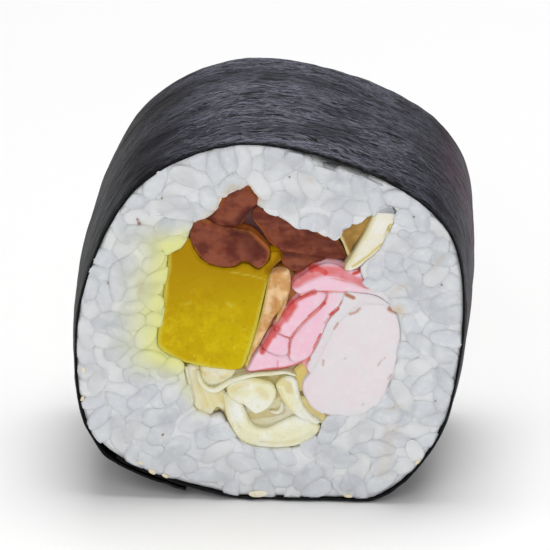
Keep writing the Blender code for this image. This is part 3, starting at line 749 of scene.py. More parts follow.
def make_core():
    """The rice behind the grains: a ring with a lumpy face, a little smaller all round."""
    n, across, rings = 300, 20, 14
    angles = np.linspace(-math.pi, math.pi, n, endpoint=False)
    rays = np.stack([np.cos(angles), np.sin(angles)], 1)
    reach = np.linspace(0.2, 30.0, 480)
    probe = (HEART + rays[:, None, :] * reach[None, :, None]).reshape(-1, 2)
    out = AROUND.distance(probe).reshape(n, -1)
    cav = INSIDE.distance(probe).reshape(n, -1)
    outer = np.array([reach[np.argmax(row > 0.15)] for row in out])
    inner = np.array([reach[len(reach) - 1 - np.argmax((row < 0.1)[::-1])] for row in cav])
    # Shy of the nori at the upper right, where the sheet stands off the rice.
    tip = HEART + rays * outer[:, None]
    outer = outer - 1.35 * np.exp(-(((tip[:, 0] - 8.0) / 4.0) ** 2)) * (tip[:, 1] > 34)
    points, faces = [], []
    for side in (-1, 1):
        for j in range(across + 1):
            s = j / across
            q = HEART + rays * (outer * (1 - s) + inner * s)[:, None]
            lump = 0.12 * noise(np.column_stack([q, np.full(n, side * 9.0)]), 0.55, 5, 2)
            y = np.full(n, side * (SLICE / 2 - CORE_BACK)) + side * lump
            w = barrel(q, y) * (1 - s) + sway(q, y) * s
            points.append(np.stack([w[:, 0], y, w[:, 1]], 1))
    for side, radius, sloped in ((0, outer, True), (1, inner, False)):
        for k in range(1, rings):
            y = np.full(n, (SLICE / 2 - CORE_BACK) * (2 * k / rings - 1))
            q = HEART + rays * radius[:, None]
            w = barrel(q, y) if sloped else sway(q, y)
            points.append(np.stack([w[:, 0], y, w[:, 1]], 1))
    count = across + 1

    def strip(a, b):
        i = np.arange(n)
        j = (i + 1) % n
        return np.stack([a * n + i, a * n + j, b * n + j, b * n + i], 1)

    for j in range(across):
        faces.append(strip(j, j + 1)[:, ::-1])
        faces.append(strip(count + j, count + j + 1))
    wall = [0] + [2 * count + k for k in range(rings - 1)] + [count]
    for a, b in zip(wall, wall[1:]):
        faces.append(strip(a, b))
    wall = [across] + [2 * count + rings - 1 + k for k in range(rings - 1)] + [count + across]
    for a, b in zip(wall, wall[1:]):
        faces.append(strip(a, b)[:, ::-1])
    points = np.vstack(points)
    tints = rice_tints(points)
    tints["tone"] = np.zeros(len(points))
    return mesh_piece("rice_core", points, [np.vstack(faces)], tints, None, RICE, "rice", ["rice"])


def grain_shape(around, along):
    """Unit grain: points and quads/triangles of a plump rounded spindle with its axis on x."""
    t = -np.cos(np.linspace(0, math.pi, along + 1))
    r = np.maximum(1 - np.abs(t) ** 2.3, 0) ** (1 / 2.1)
    phi = np.linspace(0, 2 * math.pi, around, endpoint=False)
    rings = [np.stack([np.full(around, t[k]), r[k] * np.cos(phi), r[k] * np.sin(phi)], 1) for k in range(1, along)]
    points = np.vstack(rings + [[(-1, 0, 0)], [(1, 0, 0)]])
    m = along - 1
    i = np.arange(around)
    j = (i + 1) % around
    quads = np.vstack([np.stack([k * around + i, k * around + j, (k + 1) * around + j, (k + 1) * around + i], 1) for k in range(m - 1)])
    tip = m * around
    tris = np.vstack([np.stack([j, i, np.full(around, tip)], 1), np.stack([(m - 1) * around + i, (m - 1) * around + j, np.full(around, tip + 1)], 1)])
    return points, tris, quads


def scatter(rng, gap, tries, room, also=None):
    """Blue-noise points in the rice's section: at least gap apart, and room (from the nori, from the filling)."""
    kept = [] if also is None else list(also)
    first = len(kept)
    for _ in range(tries):
        q = rng.uniform((-23, 0), (23, 47))
        if kept and np.min(np.sum((np.array(kept) - q) ** 2, 1)) < gap * gap:
            continue
        p = q[None]
        if AROUND.distance(p)[0] < -room[0] and INSIDE.distance(p)[0] > room[1]:
            kept.append(q)
    return np.array(kept[first:])


def make_grains():
    rng = np.random.default_rng(650)
    shape = grain_shape(18, 11)
    parts = []
    for side in (-1, 1):
        for q in scatter(rng, 1.84, 14000, (0.5, 0.3)):
            angle = rng.uniform(0, math.pi)
            tilt = rng.normal(0, 0.35)
            half = np.array([2.6, 1.22, 1.22]) * rng.uniform(0.86, 1.15, 3)
            deep = rng.uniform(0.45, 1.0)
            p = shape[0] * half
            # A grain is a little bent, and no two are alike.
            p[:, 1] += 0.05 * rng.normal() * p[:, 0] ** 2
            p *= 1 + 0.08 * noise(shape[0] * 1.1 + rng.uniform(0, 50, 3), 1.0, 9)[:, None]
            roll = rng.uniform(0, math.pi)
            c, s = math.cos(roll), math.sin(roll)
            p[:, 1], p[:, 2] = p[:, 1] * c - p[:, 2] * s, p[:, 1] * s + p[:, 2] * c
            # Its axis lies near the cut face (x to z), tipped by tilt towards y.
            c, s = math.cos(tilt), math.sin(tilt)
            along, depth = p[:, 0] * c - p[:, 2] * s, p[:, 0] * s + p[:, 2] * c
            x = along * math.cos(angle) - p[:, 1] * math.sin(angle)
            z = along * math.sin(angle) + p[:, 1] * math.cos(angle)
            w = np.stack([x + q[0], z + q[1]], 1)
            y = side * (SLICE / 2 - deep) + depth
            # The knife: flat but for a soft swell, and not quite level from grain to grain.
            lean = rng.normal(0, 0.025, 2)
            level = SLICE / 2 + rng.normal(-0.04, 0.055) + (w - q) @ lean
            soft = 0.36
            over = side * y - level
            y = side * np.where(over > -soft, level - soft + soft * (1 - np.exp(-(over + soft) / soft)), side * y)
            w = barrel(w, np.full(len(w), side * SLICE / 2 * 0.97))
            # Pressed against the nori and against the filling.
            reach = 0.3 + rng.normal(0, 0.06)
            if q[1] > 34:
                reach -= (1.35 + rng.normal(0, 0.2)) * math.exp(-(((q[0] - 8.0) / 4.0) ** 2))
            for _ in range(2):
                u = unbarrel(w, y)
                much = np.maximum(AROUND.distance(u) - reach, 0)
                w -= AROUND.away(u) * much[:, None]
            lobe = -0.18 + rng.normal(0, 0.13)
            for _ in range(2):
                u = sway(w, y, True)
                much = np.maximum(lobe - INSIDE.distance(u), 0)
                w += INSIDE.away(u) * much[:, None]
            w[:, 1] = np.maximum(w[:, 1], 0.5)
            pts = np.stack([w[:, 0], y, w[:, 1]], 1)
            parts.append((pts, [shape[1], shape[2]], {"tone": np.full(len(pts), rng.uniform(0, 1) ** 1.3)}))
    points, faces, attributes = join(parts)
    attributes.update(rice_tints(points))
    print("grains:", len(parts), "triangles:", len(faces[0]) + 2 * len(faces[1]))
    return mesh_piece("rice_grains", points, faces, attributes, None, RICE, "rice", ["rice"])


# ---- the filling --------------------------------------------------------------------------------------------------
def wavy(amount, scale, seed, octaves=2):
    return lambda q, side: amount * noise(np.column_stack([q, np.full(len(q), side * 3.3)]), scale, seed, octaves)


def both(*reliefs):
    return lambda q, side: sum(r(q, side) for r in reliefs)


def tint(part, **lines):
    """Adds attributes to a slab: name=[(path, strength, half-width), ...] in section coordinates, by nearness."""
    points, faces, attributes = part
    q = sway(points[:, [0, 2]], points[:, 1], True)
    for name, drawn in lines.items():
        value = np.zeros(len(q))
        for path, strength, half in drawn:
            path = np.array(path, float)
            d = to_line(q, spline(path, False, 8) if len(path) > 2 else path, False)
            ragged = half * (1 + 0.3 * noise(q, 0.6, 83))
            value = np.maximum(value, strength * smooth(ragged * 1.5 - d, 0, ragged * 1.0))
        attributes[name] = value
    return part


def make_radish():
    scratches = grooves([([(-11.5, 24.9), (-7.0, 25.6), (-2.0, 25.2)], 0.05, 0.2), ([(-12.4, 21.0), (-6.0, 21.3)], 0.04, 0.2), ([(-7.8, 29.6), (-3.0, 29.3), (-0.6, 28.8)], 0.06, 0.2)])
    part = slab(FILLINGS[0], 0.18, 0.3, 0.24, 0.26, both(wavy(0.1, 0.28, 61), wavy(0.045, 1.3, 62), scratches), 0.24, 0.16, 3, 0.06, 20, 0.7)
    part = tint(
        part,
        pale=[([(-0.2, 28.2), (-0.9, 25.2), (-1.8, 21.6), (-3.1, 17.4)], 0.7, 0.28), ([(-4.6, 29.6), (-2.2, 29.2), (-0.4, 28.7)], 0.45, 0.1), ([(-9.8, 25.4), (-9.3, 25.5)], 0.4, 0.12), ([(-4.9, 25.6), (-4.4, 25.2)], 0.5, 0.16), ([(-11.9, 31.6), (-12.2, 28.0), (-12.9, 22.6), (-13.2, 20.2), (-12.2, 18.9), (-9.4, 17.6), (-5.6, 16.9)], 0.75, 0.4)],
        # painted shadow in the top right corner, under the gourd strips
        dim=[([(1.4, 31.8), (0.9, 30.8), (0.0, 29.8)], 0.8, 0.55)],
    )
    points, faces, attributes = part
    z = sway(points[:, [0, 2]], points[:, 1], True)[:, 1]
    attributes["shade"] = smooth(z, 20.0, 32.0)
    return mesh_piece("radish_block", points, faces, attributes, None, radish_finish(), "pickled_radish", ["pickled_radish"])


def make_gourds():
    finish = gourd_finish()
    # Per strip: its fold grooves, and where it is painted dark, as painted shade along the folds and where the strips
    # meet.
    folds = {
        "gourd_strip_upper": ([([(-6.6, 36.2), (-4.4, 38.0), (-2.6, 39.8)], 0.12, 0.5), ([(-2.2, 37.0), (-2.6, 38.6)], 0.1, 0.3)], [([(-2.0, 37.2), (-3.2, 35.4)], 0.9, 0.7)]),
        "gourd_strip_lower": ([([(-3.9, 34.8), (-4.4, 33.0), (-3.4, 30.9)], 0.22, 0.4), ([(-8.4, 34.6), (-6.0, 33.2), (-4.4, 33.0)], 0.12, 0.5)], [([(-2.2, 34.0), (-1.6, 32.4)], 0.6, 1.2), ([(-4.0, 34.6), (-2.4, 34.8)], 0.8, 0.5)]),
        "gourd_strip_right": ([([(1.3, 31.6), (3.2, 31.7), (5.2, 31.3), (6.6, 31.2)], 0.35, 0.22), ([(0.6, 35.2), (3.4, 34.0), (7.4, 33.0)], 0.15, 0.5), ([(2.2, 33.6), (5.0, 32.6), (8.2, 32.2)], 0.1, 0.35)], [([(5.2, 34.6), (6.4, 33.6), (8.0, 33.4)], 0.55, 0.9), ([(1.4, 31.6), (3.6, 31.6)], 0.6, 0.25)]),
    }
    for name, loop, front, back, seed in (("gourd_strip_upper", FILLINGS[1], 0.65, 0.5, 21), ("gourd_strip_lower", FILLINGS[2], 0.05, 0.6, 22), ("gourd_strip_right", FILLINGS[3], 0.75, 0.6, 23)):
        relief = both(wavy(0.3, 0.33, seed, 3), wavy(0.07, 1.5, seed + 5, 2), grooves(folds[name][0]))
        part = slab(loop, front, back, 0.2, 0.6, relief, 0.3, 0.25, seed, 0.12)
        part = tint(part, dark=folds[name][1])
        mesh_piece(name + "_piece", *part[:2], part[2], None, finish, "gourd_strip", [name])


REDS = [
    ([(3.0, 28.2), (3.9, 28.9), (5.0, 29.45), (6.2, 29.85), (7.2, 29.9), (8.3, 29.7), (9.2, 29.2), (10.2, 28.75), (11.2, 28.4)], 0.72, 0.6),
    ([(4.9, 29.9), (5.8, 30.1), (6.6, 29.7)], 1.0, 0.38),
    ([(9.9, 29.6), (10.6, 29.9)], 1.0, 0.22),
    ([(3.2, 26.0), (2.4, 24.9), (1.7, 23.7), (0.9, 22.5), (0.2, 21.3), (-0.4, 20.2), (-0.8, 19.3)], 0.9, 0.3),
    ([(2.9, 25.5), (2.3, 24.6), (1.8, 23.8)], 0.9, 0.5),
    ([(0.9, 22.4), (0.4, 21.6)], 1.0, 0.42),
    ([(5.3, 27.2), (4.2, 26.7), (3.3, 26.1)], 0.9, 0.3),
    ([(6.85, 26.8), (6.6, 25.9)], 0.7, 0.12),
    ([(6.5, 25.8), (5.7, 24.95), (4.7, 24.0)], 1.0, 0.2),
    ([(4.7, 24.0), (3.6, 22.75), (2.8, 21.7), (2.4, 20.6), (2.35, 19.2)], 0.9, 0.13),
    ([(0.7, 22.0), (1.5, 21.55), (2.5, 21.2)], 0.55, 0.1),
    ([(8.1, 25.15), (7.2, 24.3)], 1.0, 0.2),
    ([(6.05, 21.8), (5.6, 20.8), (5.2, 19.9)], 0.85, 0.14),
    ([(-2.8, 16.7), (-1.7, 16.75), (0.2, 17.1), (2.0, 17.35), (3.8, 18.05), (4.7, 18.5)], 0.85, 0.18),
    ([(1.0, 17.2), (1.0, 18.2)], 0.5, 0.09),
]


def make_crab():
    finish = crab_finish()
    tans = [
        ([(9.5, 24.5), (10.2, 24.8), (10.7, 25.3)], 0.75, 0.12),
        ([(7.7, 22.6), (8.1, 23.3)], 0.7, 0.12),
        ([(6.5, 23.2), (7.2, 24.1)], 0.5, 0.1),
        ([(9.1, 26.95), (9.9, 26.6)], 1.0, 0.3),
        ([(14.2, 25.3), (14.9, 25.0)], 1.0, 0.28),
        ([(6.35, 17.9), (6.4, 18.5)], 0.6, 0.1),
        ([(12.9, 18.0), (13.6, 19.1)], 0.6, 0.09),
        ([(14.0, 16.2), (14.4, 16.9)], 0.6, 0.09),
        ([(13.3, 13.4), (14.0, 14.2)], 0.6, 0.1),
        ([(8.9, 18.7), (9.1, 18.95)], 0.4, 0.09),
        ([(11.0, 12.8), (11.2, 13.0)], 0.4, 0.09),
        ([(6.6, 11.5), (7.8, 11.1), (8.8, 11.2)], 0.6, 0.12),
    ]
    spec = (
        ("crab_sheet_top", 5, 0.3, 0.4, 0.3),
        ("crab_sheet_left", 6, 0.22, 0.5, 0.15),
        ("crab_sheet_middle", 7, 0.26, 0.3, 0.15),
        ("crab_sheet_end", 8, 0.2, 0.4, 0.16),
        ("crab_sheet_bottom", 9, 0.28, 0.3, 0.15),
        ("crab_sheet_right", 10, 0.2, 0.5, 0.1),
        ("crab_core", 11, 0.14, 0.2, 0.16),
    )
    for k, (name, index, front, back, edge) in enumerate(spec):
        lines = [(p, 0.06 * s, 0.16) for p, s, _ in REDS] + [(p, 0.1 * s, 0.12) for p, s, _ in tans]
        if name == "crab_sheet_top":
            lines.append(([(3.4, 27.9), (5.4, 28.8), (7.6, 28.9), (9.6, 28.4), (12.4, 27.5)], 0.14, 0.18))
        amount = 0.05 if name == "crab_core" else 0.07
        relief = both(wavy(amount, 0.5, 90 + k, 3), wavy(0.02, 2.2, 80 + k, 2), grooves(lines))
        part = slab(FILLINGS[index], front, back, 0.15 if name != "crab_core" else 0.2, edge, relief, 0.24, 0.06, 40 + k, 0.04, 20, 0.5)
        part = tint(part, red=REDS, tan=tans)
        points, faces, attributes = part
        q = sway(points[:, [0, 2]], points[:, 1], True)
        lean = q[:, 0] - 0.25 * (q[:, 1] - 20)
        pink = 1 - smooth(lean, 4.5, 8.5)
        if name in ("crab_core", "crab_sheet_right"):
            pink = 0.12 * (1 - smooth(lean, 6.0, 9.0))
        if name == "crab_sheet_top":
            pink = 1 - smooth(q[:, 0], 9.0, 13.0)
            pink *= 0.9
        attributes["pink"] = np.clip(pink + 0.12 * noise(q, 0.7, 77), 0, 1)
        mesh_piece(name + "_piece", points, faces, attributes, None, finish, "crab_stick_white" if name == "crab_core" else "crab_stick_red", [name])


def ridge(path, height, half):
    """A rise along a path, for the rim of a fold."""

    def relief(q, side):
        return height * np.exp(-((to_line(q, spline(path, False, 8), False) / half) ** 2))

    return relief


def pit(x, z, depth, half):
    return lambda q, side: -depth * np.exp(-(((q[:, 0] - x) ** 2 + (q[:, 1] - z) ** 2) / half**2))


def make_cabbage():
    finish = cabbage_finish("cabbage", (250, 251, 238), (244, 242, 206), (186, 156, 40))
    shreds = (
        # outline, front, back, relief, warmth, warm lines; warmth and the warm lines paint a yellow tint, partly the
        # cabbage's own and partly painted shade in hollows and creases
        # The big crescent fold.
        (
            [(-5.5, 13.7), (-5.35, 11.9), (-4.95, 10.2), (-4.2, 8.6), (-3.2, 7.4), (-1.7, 6.85), (1.1, 6.65), (3.8, 7.2), (5.5, 8.35), (6.0, 9.6), (5.1, 10.4), (4.0, 10.9), (2.9, 10.85), (1.1, 10.0), (-0.3, 9.25), (-1.6, 9.45), (-2.45, 10.4), (-2.8, 11.4), (-3.4, 12.6), (-4.5, 13.5)],
            0.45,
            0.5,
            both(ridge([(-3.9, 12.6), (-3.4, 10.6), (-2.0, 8.9), (-0.2, 8.5), (1.8, 9.2), (4.0, 10.2)], 0.3, 0.75), grooves([([(-1.2, 7.5), (1.0, 7.35), (3.2, 7.75), (5.2, 8.9)], 0.22, 0.2), ([(-4.8, 12.6), (-4.3, 10.4), (-3.2, 8.7)], 0.12, 0.25)])),
            0.0,
            [([(-1.0, 7.5), (1.0, 7.35), (3.0, 7.7)], 0.3, 0.16), ([(-5.3, 13.2), (-5.0, 11.2), (-4.4, 9.6)], 0.35, 0.35)],
        ),
        # The two lobes curled over it, each with a hollow.
        (
            [(-5.05, 14.1), (-4.75, 13.1), (-4.0, 12.45), (-3.0, 12.2), (-2.3, 11.5), (-1.6, 11.1), (-0.6, 11.5), (0.25, 12.3), (0.75, 13.2), (0.8, 14.2), (0.3, 15.1), (-1.0, 15.6), (-2.4, 15.8), (-3.9, 15.5), (-4.8, 15.0)],
            0.35,
            0.6,
            both(pit(-3.55, 14.25, 0.55, 0.75), pit(-0.75, 13.75, 0.5, 0.7), ridge([(-2.3, 15.4), (-2.15, 13.9), (-2.6, 12.9)], 0.15, 0.4), ridge([(-4.7, 14.6), (-4.4, 13.3), (-3.2, 12.8)], 0.15, 0.35), wavy(0.08, 0.6, 141)),
            0.05,
            [([(-4.3, 14.3), (-3.3, 14.9), (-2.6, 15.2)], 0.4, 0.55), ([(-1.2, 14.4), (-0.4, 13.4)], 0.35, 0.5), ([(-2.4, 15.6), (0.2, 15.5)], 0.4, 0.4), ([(-4.8, 13.6), (-4.0, 12.9), (-2.6, 12.6)], 0.22, 0.2)],
        ),
        # The bright tongue to the right, hollow at its top.
        (
            [(0.8, 15.0), (1.2, 13.7), (1.75, 12.6), (2.9, 11.2), (4.2, 10.35), (5.6, 9.9), (6.15, 10.3), (4.85, 11.4), (3.95, 12.7), (3.55, 14.1), (3.25, 15.6), (2.6, 16.1), (1.6, 15.9)],
            0.3,
            0.4,
            both(ridge([(2.9, 15.6), (3.2, 13.9), (4.1, 12.0), (5.6, 10.5)], 0.28, 0.32), pit(2.0, 14.8, 0.35, 0.7), grooves([([(1.9, 14.2), (2.9, 12.4), (4.4, 10.9)], 0.14, 0.25)])),
            0.0,
            [([(1.3, 15.4), (2.0, 15.2), (2.4, 14.4)], 0.6, 0.5), ([(1.2, 14.4), (1.9, 12.9), (2.9, 11.5)], 0.4, 0.25)],
        ),
        # The leaf to the left, painted tan for shade, its veins running down, with painted shade along them.
        (
            [(-9.95, 17.0), (-9.4, 14.0), (-8.85, 11.7), (-7.8, 10.9), (-6.9, 10.75), (-6.2, 11.7), (-5.4, 11.4), (-5.1, 12.6), (-5.3, 14.0), (-6.6, 14.1), (-7.8, 14.5), (-8.3, 15.6), (-8.3, 17.0)],
            0.65,
            0.7,
            grooves([([(-8.9, 16.6), (-8.6, 13.8), (-7.9, 11.4)], 0.16, 0.2), ([(-8.2, 14.6), (-7.2, 11.6)], 0.16, 0.2), ([(-6.6, 13.9), (-6.3, 12.4)], 0.2, 0.2)]),
            0.3,
            [([(-8.7, 16.4), (-8.3, 14.6), (-7.4, 12.0)], 0.55, 0.4), ([(-6.1, 13.9), (-5.6, 12.6)], 0.7, 0.3), ([(-7.2, 13.8), (-6.6, 12.0)], 0.5, 0.3)],
        ),
        # Inside the small loop.
        ([(-8.1, 17.1), (-3.9, 16.8), (-4.4, 15.6), (-5.8, 14.7), (-7.3, 14.5), (-8.1, 15.5)], 0.75, 0.8, both(wavy(0.25, 1.3, 143), grooves([([(-7.4, 16.2), (-6.2, 15.3)], 0.2, 0.15), ([(-6.4, 16.4), (-5.2, 15.6)], 0.2, 0.15)])), 0.25, [([(-8.1, 16.6), (-7.6, 15.9)], 0.7, 0.25), ([(-5.8, 15.6), (-4.8, 16.1)], 0.6, 0.25)]),
        # Beside and below the crab stick.
        ([(2.7, 16.3), (3.5, 17.4), (4.5, 18.2), (4.75, 17.0), (4.3, 15.5), (3.9, 14.0), (3.3, 14.0), (3.1, 15.4)], 0.7, 0.7, wavy(0.12, 0.8, 144), 0.95, []),
        ([(3.6, 13.4), (4.6, 13.1), (5.8, 12.0), (7.0, 10.9), (6.6, 10.0), (5.6, 9.9), (4.5, 11.0), (3.7, 12.2)], 0.65, 0.7, grooves([([(4.6, 12.4), (5.8, 11.0)], 0.25, 0.25)]), 0.75, []),
        # The floor of the hollow.
        ([(-3.4, 11.6), (-2.2, 8.8), (0.0, 8.4), (2.6, 9.4), (4.6, 10.4), (3.6, 12.4), (2.2, 13.6), (0.2, 12.9), (-2.0, 12.2)], 1.2, 1.2, both(wavy(0.2, 0.6, 145), grooves([([(-2.6, 10.5), (-0.6, 10.6), (1.4, 11.2)], 0.5, 0.4)])), 0.15, []),
    )
    ribbons = (
        ([(-8.45, 16.6), (-8.1, 15.2), (-7.35, 14.3), (-6.4, 14.1), (-5.5, 14.65), (-4.6, 15.25), (-3.2, 15.85), (-1.7, 16.2), (0.2, 16.4), (2.0, 16.6), (3.0, 16.3)], (0.16, 0.28, 0.36, 0.38, 0.34, 0.3, 0.28, 0.28, 0.26, 0.24, 0.2), 0.3, 0.4, 0.1),
        ([(1.45, 12.5), (1.45, 11.6), (0.95, 11.05), (0.2, 11.2)], (0.2, 0.3, 0.3, 0.2), 0.95, 1.2, 0.1),
        ([(-9.75, 16.9), (-9.4, 14.9), (-8.9, 12.6)], (0.22, 0.28, 0.2), 0.45, 0.4, 0.25),
    )
    parts = []
    for k, (points, front, back, relief, warmth, lines) in enumerate(shreds):
        part = slab(outline(points), front, back, 0.17, 0.42, both(wavy(0.1, 0.4, 120 + k), relief), 0.15, 0.25, 130 + k, 0.0, 20)
        # The warm tint: partly painted shade in the hollows and on the shreds lying further back, partly the cabbage's
        # own yellow.
        part = tint(part, warm=lines)
        part[2]["warm"] = np.maximum(part[2]["warm"], warmth)
        parts.append(part)
    for k, (path, halves, front, back, warmth) in enumerate(ribbons):
        part = slab(ribbon(path, halves), front, back, 0.15, 0.26, wavy(0.08, 0.45, 150 + k), 0.08, 0.2, 160 + k, 0.0, 20)
        part[2]["warm"] = np.full(len(part[0]), warmth)
        parts.append(part)
    points, faces, attributes = join(parts)
    mesh_piece("cabbage_shreds", points, faces, attributes, None, finish, "cabbage", ["cabbage_curls"])
    # What is left of the bundle, out of sight behind the shreds.
    core = slab(outline(CABBAGE), 1.35, 1.35, 0.5, 0.5, wavy(0.3, 0.5, 171), 0.0, 0.1, 172)
    core[2]["warm"] = np.full(len(core[0]), 0.4)
    mesh_piece("cabbage_core", *core[:2], core[2], None, finish, "cabbage", ["cabbage_curls"])

    rib = slab(FILLINGS[13], 0.08, 0.5, 0.18, 0.35, both(wavy(0.12, 0.5, 181), grooves([([(14.15, 35.9), (13.7, 34.8)], 0.5, 0.2), ([(13.0, 33.4), (11.4, 31.9), (9.8, 30.7)], 0.2, 0.12)])), 0.2, 0.2, 182)
    rib = tint(rib, warm=[([(14.2, 36.1), (13.9, 35.2)], 1.0, 0.18), ([(13.3, 33.7), (11.6, 32.0), (9.8, 30.6)], 0.9, 0.13), ([(9.0, 30.3), (9.8, 31.9), (11.6, 35.4), (12.6, 38.2)], 0.35, 0.3)])
    mesh_piece("cabbage_rib_piece", *rib[:2], rib[2], None, cabbage_finish("cabbage_rib", (246, 244, 236), (240, 236, 214), (150, 130, 60)), "cabbage", ["cabbage_rib"])
    leaf = slab(FILLINGS[12], 0.75, 0.8, 0.18, 0.3, wavy(0.15, 0.5, 191), 0.25, 0.2, 192)
    leaf = tint(leaf, warm=[([(8.2, 34.6), (8.8, 33.1), (9.3, 31.8)], 0.9, 0.2)])
    # Painted shade: the leaf is coloured as a shaded copy of the cabbage, in olive-brown; its warm line is a paler
    # border.
    f = moist("cabbage_leaf", 1.5, 0.1, (1.0, 0.8, 0.3))
    base = f.blend(f.spread(f.noise(0.5, 3), 0.35, 0.65), (154, 112, 40), (186, 146, 70))
    base = f.blend(f.attribute("warm"), base, (232, 214, 150))
    f.colour(base)
    f.roughness(f.spread(f.noise(0.7, 2), 0.3, 0.7, 0.3, 0.5))
    f.bump(f.noise(1.3, 3), 0.05, 0.3)
    mesh_piece("cabbage_leaf_piece", *leaf[:2], leaf[2], None, f.material, "cabbage_leaf", ["cabbage_leaf"])

    parts = []
    strip = slab(FILLINGS[4], 0.4, 0.7, 0.18, 0.4, both(wavy(0.15, 0.4, 201), grooves([([(1.4, 29.4), (0.9, 26.6), (0.4, 24.4)], 0.15, 0.2)])), 0.2, 0.2, 202)
    # pale is the strip's paler edge by the radish; deep is painted shade, under the gourd strips and along the fold.
    strip = tint(strip, pale=[([(0.0, 29.2), (-0.3, 27.7), (-0.7, 25.6), (-1.1, 23.6), (-1.8, 21.3), (-2.4, 18.9), (-2.8, 17.3)], 0.9, 0.22)], deep=[([(2.3, 26.4), (1.2, 24.2), (0.4, 23.0)], 0.3, 0.3), ([(1.8, 30.2), (0.4, 29.8)], 0.6, 0.4)])
    parts.append(strip)
    strand = slab(ribbon([(2.1, 26.4), (1.65, 24.9), (1.15, 23.4), (0.85, 22.3)], (0.2, 0.3, 0.3, 0.22)), 0.55, 0.8, 0.15, 0.26, wavy(0.08, 0.5, 203), 0.05, 0.1, 204)
    strand = tint(strand, pale=[], deep=[])
    parts.append(strand)
    points, faces, attributes = join(parts)
    f = moist("cabbage_stained", 1.5, 0.15, (1.0, 0.7, 0.4))
    base = f.blend(f.spread(f.noise(0.55, 3), 0.4, 0.6), (214, 158, 92), (244, 204, 152))
    base = f.blend(f.spread(f.noise(1.0, 3, 0.6, f.mapped((2000.0, 2000.0, 450.0), None, (0, 0.35, 0))), 0.5, 0.68, 0, 0.38), base, (194, 128, 60))
    base = f.blend(f.spread(f.noise(1.3, 2), 0.5, 0.75, 0, 0.5), base, (236, 206, 176))
    base = f.blend(f.attribute("pale"), base, (226, 206, 96))
    # Painted shade: dark amber under the gourd strips and along the fold.
    base = f.blend(f.attribute("deep"), base, (150, 92, 20))
    f.colour(base)
    f.roughness(f.spread(f.noise(0.7, 2), 0.3, 0.7, 0.28, 0.48))
    f.bump(f.noise(1.3, 3), 0.05, 0.3)
    mesh_piece("cabbage_strip_piece", points, faces, attributes, None, f.material, "cabbage_stained", ["cabbage_strip"])


def make_bed():
    """Sheets behind the pieces of filling, seen only as the thin lines and hollows where they don't meet, coloured
    darker than the pieces in front as painted shade in those gaps.
    """
    beds = (
        # outline, how far behind the face, colours, slot
        ("under_gourd", [(-8.0, 35.4), (-5.4, 38.0), (-3.4, 39.6), (-2.0, 38.6), (-0.6, 37.0), (2.4, 36.0), (7.0, 33.9), (9.8, 34.9), (12.0, 36.6), (12.6, 35.0), (10.4, 31.0), (6.0, 30.0), (2.6, 28.6), (0.2, 28.6), (-3.6, 30.8), (-7.8, 31.6)], 1.7, (70, 10, 4), (96, 30, 10), "gourd_strip"),
        ("under_strip", [(-2.2, 19.0), (-1.2, 22.6), (-0.2, 27.0), (0.8, 29.8), (2.6, 29.4), (3.6, 26.6), (2.2, 23.0), (0.6, 20.4), (-1.6, 18.0)], 1.3, (150, 84, 10), (176, 108, 24), "cabbage_stained"),
        ("under_crab", [(-1.8, 17.3), (0.0, 20.6), (1.6, 23.2), (3.4, 26.2), (3.8, 28.4), (6.0, 29.8), (9.4, 29.2), (13.4, 26.8), (14.6, 22.6), (13.8, 16.0), (11.6, 12.4), (8.0, 12.0), (5.4, 13.0), (4.8, 16.0), (3.6, 17.8), (1.0, 17.5)], 0.4, (226, 116, 110), (238, 172, 170), "crab_stick_red"),
    )
    for k, (name, points, behind, dark, light, slot) in enumerate(beds):
        part = slab(outline(points), behind, behind, 0.4, 0.4, wavy(0.08, 0.5, 211 + k), 0.0, 0.1, 221 + k, 0.0, 10)
        mesh_piece(name, *part[:2], {}, None, plain_finish(name, dark, light, (0.3, 0.5)), slot)


def make_bits():
    """Crumbs of filling dragged onto the cut face and over the nori's lower edge by the knife."""
    rng = np.random.default_rng(77)
    shape = grain_shape(12, 9)
    cream = [(-1.3, 0.95, 1.1, 0.42, 5), (-13.9, 3.5, 0.5, 0.24, -25), (-12.3, 3.0, 0.4, 0.2, -20), (-15.3, 4.6, 0.35, 0.18, -30), (9.4, 0.9, 0.5, 0.2, 0), (17.6, 5.6, 0.45, 0.2, 45), (-21.9, 16.6, 0.4, 0.24, 80), (-22.1, 12.9, 0.35, 0.2, 70)]
    dark = [(-15.2, 35.6, 0.2), (-15.4, 36.1, 0.13), (-12.5, 38.9, 0.11), (-12.6, 8.4, 0.14), (19.6, 13.6, 0.1), (2.4, 41.9, 0.11), (-18.9, 27.9, 0.1), (16.9, 37.2, 0.1), (20.2, 28.6, 0.11)]
    for name, rows, finish, slot in (
        ("cream_crumbs", [(x, z, a, b, t) for x, z, a, b, t in cream], plain_finish("cream_crumbs", (236, 222, 186), (244, 238, 218), (0.35, 0.55), 1.0), "cabbage"),
        ("brown_specks", [(x, z, r * 1.3, r, rng.uniform(0, 180)) for x, z, r in dark], plain_finish("brown_specks", (146, 120, 100), (180, 158, 140), (0.4, 0.6), 2.0), "cabbage_stained"),
    ):
        parts = []
        for x, z, a, b, turn in rows:
            p = shape[0] * (a, b * 0.7, b)
            p *= 1 + 0.2 * noise(shape[0] * 1.3 + rng.uniform(0, 50, 3), 1.0, 9)[:, None]
            c, k = math.cos(math.radians(turn)), math.sin(math.radians(turn))
            parts.append((np.stack([x + p[:, 0] * c - p[:, 2] * k, FRONT - 0.02 + p[:, 1], np.maximum(z + p[:, 0] * k + p[:, 2] * c, 0.05)], 1), [shape[1], shape[2]], {}))
        points, faces, _ = join(parts)
        mesh_piece(name, points, faces, {}, None, finish, slot)


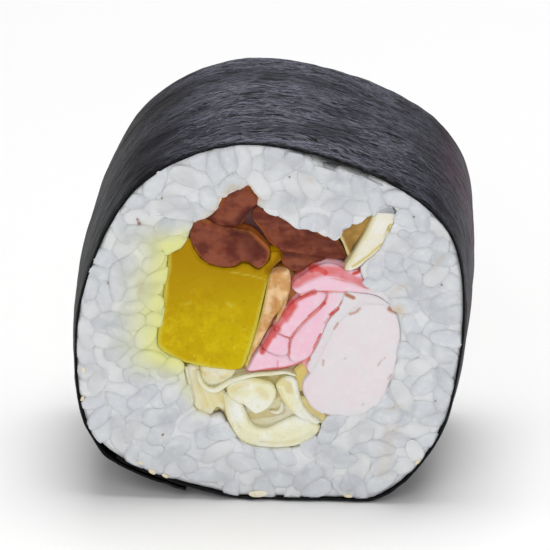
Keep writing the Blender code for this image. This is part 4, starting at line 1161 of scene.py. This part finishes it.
# ---- the floor, the lights and the camera ---------------------------------------------------------------------------
def make_stage():
    s = 3.0
    mesh = bpy.data.meshes.new("floor")
    mesh.from_pydata([(-s, -s, 0), (s, -s, 0), (s, s, 0), (-s, s, 0)], [], [(0, 1, 2, 3)])
    floor = bpy.data.objects.new("floor", mesh)
    bpy.context.scene.collection.objects.link(floor)
    mesh.materials.append(plain_finish("floor", (240, 240, 240), (243, 243, 243), (0.7, 0.8), 0.002))
    scene = bpy.context.scene
    world = bpy.data.worlds.new("studio")
    world.use_nodes = True
    world.node_tree.nodes["Background"].inputs["Color"].default_value = (1, 1, 1, 1)
    world.node_tree.nodes["Background"].inputs["Strength"].default_value = 0.36
    scene.world = world
    target = Vector((0, 0, 0.022))
    for name, place, size, power in (
        ("key", (-0.12, -0.62, 0.5), 0.5, 1.55),
        ("top", (0.05, 0.12, 0.8), 0.55, 5.0),
        ("fill", (0.5, -0.45, 0.30), 0.4, 0.35),
    ):
        lamp = bpy.data.lights.new(name, "AREA")
        lamp.size = size
        lamp.energy = power
        lamp.color = (1, 1, 1)
        obj = bpy.data.objects.new(name, lamp)
        obj.location = place
        obj.rotation_euler = (target - Vector(place)).to_track_quat("-Z", "Y").to_euler()
        scene.collection.objects.link(obj)
    azimuth, elevation, distance, width = math.radians(3.0), math.radians(24.0), 0.83, 0.0655
    aim = Vector((0.0, 0.0, 0.0235))
    back = Vector((math.sin(azimuth) * math.cos(elevation), -math.cos(azimuth) * math.cos(elevation), math.sin(elevation)))
    camera = bpy.data.cameras.new("camera")
    camera.sensor_width = 36.0
    camera.lens = 36.0 * distance / width
    camera.clip_start = 0.01
    camera.clip_end = 20.0
    obj = bpy.data.objects.new("camera", camera)
    obj.location = aim + back * distance
    obj.rotation_euler = (-back).to_track_quat("-Z", "Y").to_euler()
    scene.collection.objects.link(obj)
    scene.camera = obj
    scene.view_settings.view_transform = "Standard"


make_nori()
make_core()
make_grains()
make_radish()
make_gourds()
make_crab()
make_cabbage()
make_bed()
make_bits()
make_stage()
